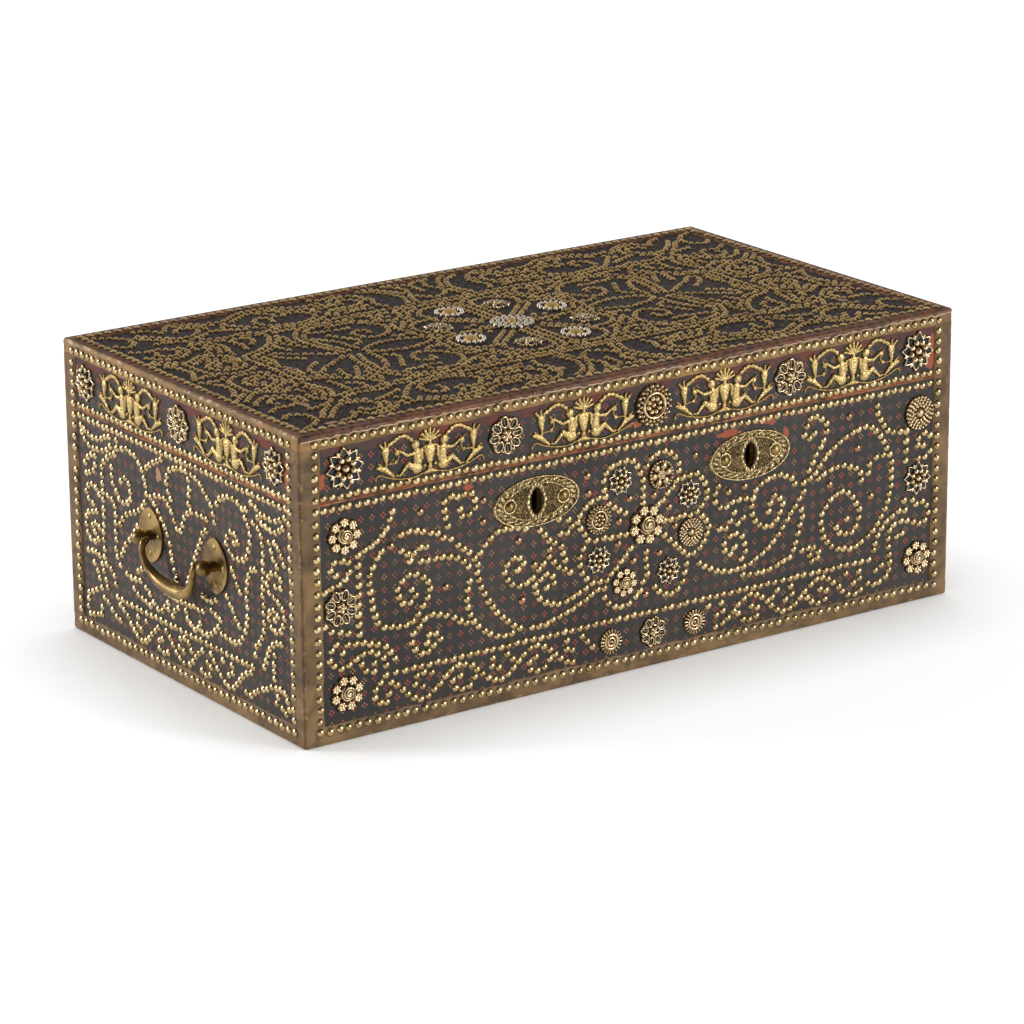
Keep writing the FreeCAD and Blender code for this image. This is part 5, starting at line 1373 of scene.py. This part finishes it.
def bottom_profile(station):
    """From the upper edge on the side, round the lower edge, to the inner edge underneath."""
    distance = station[3]
    upper = BOTTOM_BINDING_H + waves(distance, 1.0, 0.9)
    swell = waves(distance, 0.5, 1.2)
    rows = [(BINDING_T + 0.1, upper + 0.4, 0.2, 0), (0.9, upper, 0.4, 0), (0.3, upper - 1.2, 0.1, 0)]
    rows += [(0.1 - swell, upper * 0.6, 0.0, 0), (0.1, 5.0, 0.2, 0)]
    for angle in (0, 30, 60, 90):
        turn = math.radians(angle)
        rows.append((EDGE_ROUND * (1 - math.cos(turn)), EDGE_ROUND * (1 - math.sin(turn)), 0.5, 0))
    return rows + [(BOTTOM_BINDING_UNDER - 1, 0.0, 0.2, 0), (BOTTOM_BINDING_UNDER, BINDING_T, 0.2, 0)]


def add_corner(gather, sign_x, sign_y, z0, z1, phase):
    """An upright strip round one corner."""
    stops = np.linspace(z0, z1, max(4, round((z1 - z0) / 4)))
    verts, wear = [], []
    for z in stops:
        on_front = CORNER_BINDING_W + waves(z, 1.2, phase)
        on_end = CORNER_BINDING_W + waves(z, 1.2, phase + 2)
        for kind, value, lift, worn in corner_rows(on_front, on_end):
            verts.append(corner_point(sign_x, sign_y, kind, value, lift) + (z,))
            wear.append(worn)
    columns = len(verts) // len(stops)
    faces = grid_faces(len(stops), columns, False)
    if sign_x * sign_y < 0:
        faces = [face[::-1] for face in faces]
    gather.add(verts, faces, wear=wear)


def corner_rows(on_front, on_end):
    """(kind, how far from the corner or at which angle, lift, wear) across a corner strip."""
    front, end = (
        [(kind, width + 0.4, -0.1, 0.2), (kind, width, 0.6, 0.4), (kind, width - 1.2, 1.2, 0.1),
         (kind, width * 0.6, 1.45, 0.0), (kind, EDGE_ROUND * 1.8, 1.4, 0.1)]
        for kind, width in (("front", on_front), ("end", on_end))
    )
    return front + [("round", angle, BINDING_T, 0.55) for angle in (0, 30, 60, 90)] + end[::-1]


def corner_point(sign_x, sign_y, kind, value, lift):
    if kind == "front":
        return sign_x * (half_length - value), sign_y * (skin_y + lift)
    if kind == "end":
        return sign_x * (skin_x + lift), sign_y * (half_depth - value)
    turn = math.radians(value)
    x = half_length - EDGE_ROUND * (1 - math.sin(turn))
    y = half_depth - EDGE_ROUND * (1 - math.cos(turn))
    return sign_x * x, sign_y * y


def base_rim_profile(station):
    """The raw leather edge under the seam, standing a little proud."""
    distance = station[3]
    low = rim_z - RIM_STRIP_T - 0.2 + waves(distance, 0.8, 0.3)
    out = BINDING_T - 0.75 + waves(distance, 0.25, 2.6)
    rows = [(BINDING_T + 0.2, low, 0.4, 0), (out, low + 0.6, 0.5, 0), (out, rim_z - 0.15, 0.7, 0)]
    return rows + [(BINDING_T + RIM_EDGE_W, rim_z, 0.2, 0)]


def lid_rim_profile(station):
    """The raw leather edge above the seam."""
    distance = station[3]
    high = lid_z + RIM_STRIP_T - 0.3 + waves(distance, 0.6, 1.3)
    out = BINDING_T - 0.6 + waves(distance, 0.25, 0.6)
    rows = [(BINDING_T + RIM_EDGE_W, lid_z, 0.2, 0), (out, lid_z + 0.1, 0.7, 0), (out, high - 0.4, 0.5, 0)]
    return rows + [(BINDING_T + 0.2, high, 0.4, 0)]


# Pieces
def make_bindings():
    bottom, top, corners, lid_corners = Gather(), Gather(), Gather(), Gather()
    add_loop(bottom, bottom_profile)
    add_loop(top, top_profile, step=2.5)
    for phase, (sign_x, sign_y) in enumerate(CORNERS):
        add_corner(corners, sign_x, sign_y, BOTTOM_BINDING_H - 1, rim_z, phase)
        add_corner(lid_corners, sign_x, sign_y, lid_z, HEIGHT - TOP_BINDING_DROP + 1, phase + 5)
    bottom.piece("bottom_edge", brown_binding, "carcass", "binding_leather", "bottom_binding")
    corners.piece("corner_edges", brown_binding, "carcass", "binding_leather", "corner_bindings")
    top.piece("top_edge", top_binding, "lid", "binding_leather", "lid_top_binding")
    lid_corners.piece("lid_corner_edges", brown_binding, "lid", "binding_leather", "lid_corner_bindings")


def make_rim_edges():
    base, lid = Gather(), Gather()
    add_loop(base, base_rim_profile, step=4.0)
    add_loop(lid, lid_rim_profile, step=4.0)
    base.piece("base_rim_edge", raw_edge, "carcass", "binding_leather")
    lid.piece("lid_rim_edge", raw_edge, "lid", "binding_leather")


LID_FRONT_STYLES = ("star", "flower", "lace", "flower", "star")
LID_END_STYLES = ("star", "flower", "star")


def make_rosettes():
    base, lid, stars, pearls = (Gather() for _ in range(4))
    for i, (u, v, radius, style) in enumerate(front_rosette_spots()):
        add_rosette(base, FRONT, u, v, radius, style, 0.3 * i)
    for i, (u, v, radius, style) in enumerate(top_rosette_spots()):
        add_rosette(stars if style == "star" else pearls, TOP, u, v, radius, style, 0.2 * i)
    for face in (FRONT, LEFT, RIGHT):
        styles = LID_FRONT_STYLES if face is FRONT else LID_END_STYLES
        for i, u in enumerate(lid_spots(face, LID_FRONT_ROSETTES, LID_END_ROSETTES)):
            radius = LID_ROSETTE_R if face is FRONT and i % 2 == 0 else LID_SMALL_ROSETTE_R
            add_rosette(lid, face, u, ornament_z, radius, styles[i], 0.1 * u)
    base.piece("front_rosettes", gilt, "carcass", "brass", "base_rosettes")
    lid.piece("lid_side_rosettes", gilt, "lid", "brass", "lid_rosettes")
    stars.piece("top_stars", gilt, "lid", "brass", "lid_top_rosettes")
    pearls.piece("top_pearls", pale_beads_painted_sheen, "lid", "brass", "lid_top_rosettes")


def make_plaques():
    gather, form = Gather(), plaque_form()
    for face in (FRONT, LEFT, RIGHT):
        for u in lid_spots(face, LID_FRONT_PLAQUES, LID_END_PLAQUES):
            add_relief(gather, face, u, ornament_z, form)
    gather.piece("plaques", pale_gilt, "lid", "brass", "lid_plaques")


def make_escutcheons():
    form = escutcheon_form()
    for name, x in (("left", -LOCK_SPACING / 2), ("right", LOCK_SPACING / 2)):
        gather = Gather()
        add_relief(gather, FRONT, half_length + LOCK_SHIFT + x, KEYHOLE_Z, form)
        gather.piece(name + "_keyhole_plate", bronze, "carcass", "brass", name + "_escutcheon")


# Discs that the studs keep clear of: (share of the half length or height, radius)
ESCUTCHEON_DISCS = ((0, 23), (-0.5, 18), (0.5, 18), (-0.8, 9), (0.8, 9))
HANDLE_PLATE_DISCS = ((0, 20), (0.35, 16), (-0.35, 16), (0.75, 8), (-0.75, 8))
ROSETTE_CLEAR = 0.9


def clear_ornaments(front, left, right, top):
    """Keeps the studs off the rosettes, the escutcheons and the handles' plates."""
    for u, v, radius, _ in front_rosette_spots():
        front.keep_clear(FRONT, u, v, radius * ROSETTE_CLEAR)
    for u, v, radius, _ in top_rosette_spots():
        top.keep_clear(TOP, u, v, radius * ROSETTE_CLEAR)
    for x in (-LOCK_SPACING / 2, LOCK_SPACING / 2):
        middle_u = half_length + LOCK_SHIFT + x
        for share, radius in ESCUTCHEON_DISCS:
            front.keep_clear(FRONT, middle_u + share * ESCUTCHEON_L / 2, KEYHOLE_Z, radius)
    for studs, face, forward in ((left, LEFT, HANDLE_FORWARD), (right, RIGHT, -HANDLE_FORWARD)):
        for side in (-1, 1):
            u = half_depth + forward + side * HANDLE_SPACING / 2
            for share, radius in HANDLE_PLATE_DISCS:
                studs.keep_clear(face, u, HANDLE_Z + share * HANDLE_PLATE_H / 2, radius)


def make_studs():
    front, back, left, right, lid, top = (Studs() for _ in range(6))
    middle = Studs(top.taken)
    clear_ornaments(front, left, right, top)
    border_studs(front, lid, FRONT, LENGTH)
    border_studs(back, lid, BACK, LENGTH)
    border_studs(left, lid, LEFT, DEPTH)
    border_studs(right, lid, RIGHT, DEPTH)
    front_scrolls(front)
    end_scrolls(left, LEFT)
    end_scrolls(right, RIGHT)
    far_u, far_v = LENGTH - TOP_ROW_INSET, DEPTH - TOP_ROW_INSET
    for u in spread(TOP_ROW_INSET, far_u, BORDER_PITCH):
        top.add(TOP, u, TOP_ROW_INSET, BINDING_T)
        top.add(TOP, u, far_v, BINDING_T)
    for v in spread(TOP_ROW_INSET, far_v, BORDER_PITCH)[1:-1]:
        top.add(TOP, TOP_ROW_INSET, v, BINDING_T)
        top.add(TOP, far_u, v, BINDING_T)
    top_scrolls(top, middle)
    for name, studs in (("front", front), ("back", back), ("left", left), ("right", right)):
        studs.gather.piece(name + "_nails", brass_studs, "carcass", "brass", name + "_studs")
    lid.gather.piece("lid_nails", brass_studs, "lid", "brass", "lid_studs")
    top.gather.piece("lid_top_nails", top_studs_painted_light, "lid", "brass", "lid_studs")
    middle.gather.piece("lid_middle_nails", top_studs_painted_light, "lid", "brass", "lid_studs")


def dress_solids():
    """Materials of the solids that stay in view."""
    looks = {
        "camphor_wood": wood_along_x, "panel_leather": leather_front, "binding_leather": raw_edge,
        "brass": old_brass, "handle_brass": old_brass, "iron": iron,
    }
    by_name = {"back_leather": leather_back, "lid_top_leather": leather_top}
    for side in ("front", "back"):
        by_name["lid_" + side + "_leather"] = leather_lid_front
    for side in ("left", "right"):
        by_name[side + "_leather"] = leather_end
        by_name["lid_" + side + "_leather"] = leather_lid_end
        by_name[side + "_end_board"] = wood_along_y
        by_name["lid_" + side + "_rail"] = wood_along_y
    slots = {part["node"]: part["material_slot"] for part in frame["record"]["subparts"]}
    for name, obj in frame["nodes"].items():
        obj.data.materials.clear()
        obj.data.materials.append(by_name.get(name, looks[slots[name]]))


# Stage
def floor_white():
    """White that glows for the camera and in reflections, and less where the trunk is near."""
    shader = Shader("white_floor", specular=0.0)
    shader.skin.inputs["Base Color"].default_value = FLOOR_COLOR
    shader.skin.inputs["Roughness"].default_value = 0.9
    shader.skin.inputs["Emission Color"].default_value = (1, 1, 1, 1)
    path = shader.tree.nodes.new("ShaderNodeLightPath").outputs
    seen = shader.math("ADD", path["Is Camera Ray"], path["Is Glossy Ray"])
    seen = shader.math("ADD", seen, path["Is Transmission Ray"])
    contact = shader.tree.nodes.new("ShaderNodeAmbientOcclusion")
    contact.inputs["Distance"].default_value = CONTACT_SHADE
    glow = shader.math("MULTIPLY", shader.math("MULTIPLY", seen, FLOOR_GLOW), contact.outputs["AO"])
    shader.feed(shader.skin.inputs["Emission Strength"], glow)
    return shader.material


def make_floor():
    mesh = bpy.data.meshes.new("floor")
    corners = [(sx * FLOOR_HALF, sy * FLOOR_HALF, 0) for sx, sy in ((-1, -1), (1, -1), (1, 1), (-1, 1))]
    mesh.from_pydata(corners, [], [(0, 1, 2, 3)])
    mesh.materials.append(floor_white())
    floor = bpy.data.objects.new("floor", mesh)
    bpy.context.scene.collection.objects.link(floor)


def make_light():
    world = bpy.data.worlds.new("studio")
    world.use_nodes = True
    tree = world.node_tree
    direction = tree.nodes.new("ShaderNodeTexCoord").outputs["Generated"]
    facing = tree.nodes.new("ShaderNodeVectorMath")
    facing.operation = "DOT_PRODUCT"
    tree.links.new(direction, facing.inputs[0])
    facing.inputs[1].default_value = BACKDROP_TOWARDS
    level = tree.nodes.new("ShaderNodeMapRange")
    tree.links.new(facing.outputs["Value"], level.inputs["Value"])
    level.inputs["From Min"].default_value = BACKDROP_EDGE[0]
    level.inputs["From Max"].default_value = BACKDROP_EDGE[1]
    level.inputs["To Min"].default_value = ROOM
    level.inputs["To Max"].default_value = BACKDROP
    back = tree.nodes["Background"]
    back.inputs["Color"].default_value = (1, 1, 1, 1)
    tree.links.new(level.outputs["Result"], back.inputs["Strength"])
    bpy.context.scene.world = world
    for name, (source, power) in LAMPS.items():
        lamp = bpy.data.lights.new(name, "SUN")
        lamp.energy = power
        lamp.angle = math.radians(LAMP_SPREAD)
        obj = bpy.data.objects.new(name, lamp)
        obj.rotation_euler = Vector(source).to_track_quat("Z", "Y").to_euler()
        bpy.context.scene.collection.objects.link(obj)


def make_camera():
    azimuth, elevation = math.radians(CAMERA_AZIMUTH), math.radians(CAMERA_ELEVATION)
    roll = math.radians(CAMERA_ROLL)
    right = Vector((math.cos(azimuth), math.sin(azimuth), 0))
    flat = Vector((math.sin(azimuth), -math.cos(azimuth), 0))
    back = flat * math.cos(elevation) + Vector((0, 0, math.sin(elevation)))
    up = back.cross(right)
    tilted_right = right * math.cos(roll) + up * math.sin(roll)
    tilted_up = up * math.cos(roll) - right * math.sin(roll)
    place = Vector((0, 0, HEIGHT / 2)) + back * CAMERA_DISTANCE
    place += tilted_right * CAMERA_RIGHT + tilted_up * CAMERA_UP
    lens = bpy.data.cameras.new("camera")
    lens.lens = CAMERA_LENS
    lens.sensor_fit = "HORIZONTAL"
    lens.sensor_width = CAMERA_SENSOR
    lens.clip_end = 50
    obj = bpy.data.objects.new("camera", lens)
    matrix = obj.matrix_world.copy()
    for row in range(3):
        matrix[row][0], matrix[row][1], matrix[row][2] = tilted_right[row], tilted_up[row], back[row]
        matrix[row][3] = place[row] * MM
    obj.matrix_world = matrix
    bpy.context.scene.collection.objects.link(obj)
    bpy.context.scene.camera = obj


dress_solids()
make_bindings()
make_rim_edges()
make_rosettes()
make_plaques()
make_escutcheons()
make_studs()
make_floor()
make_light()
make_camera()
bpy.context.scene.view_settings.view_transform = "Standard"
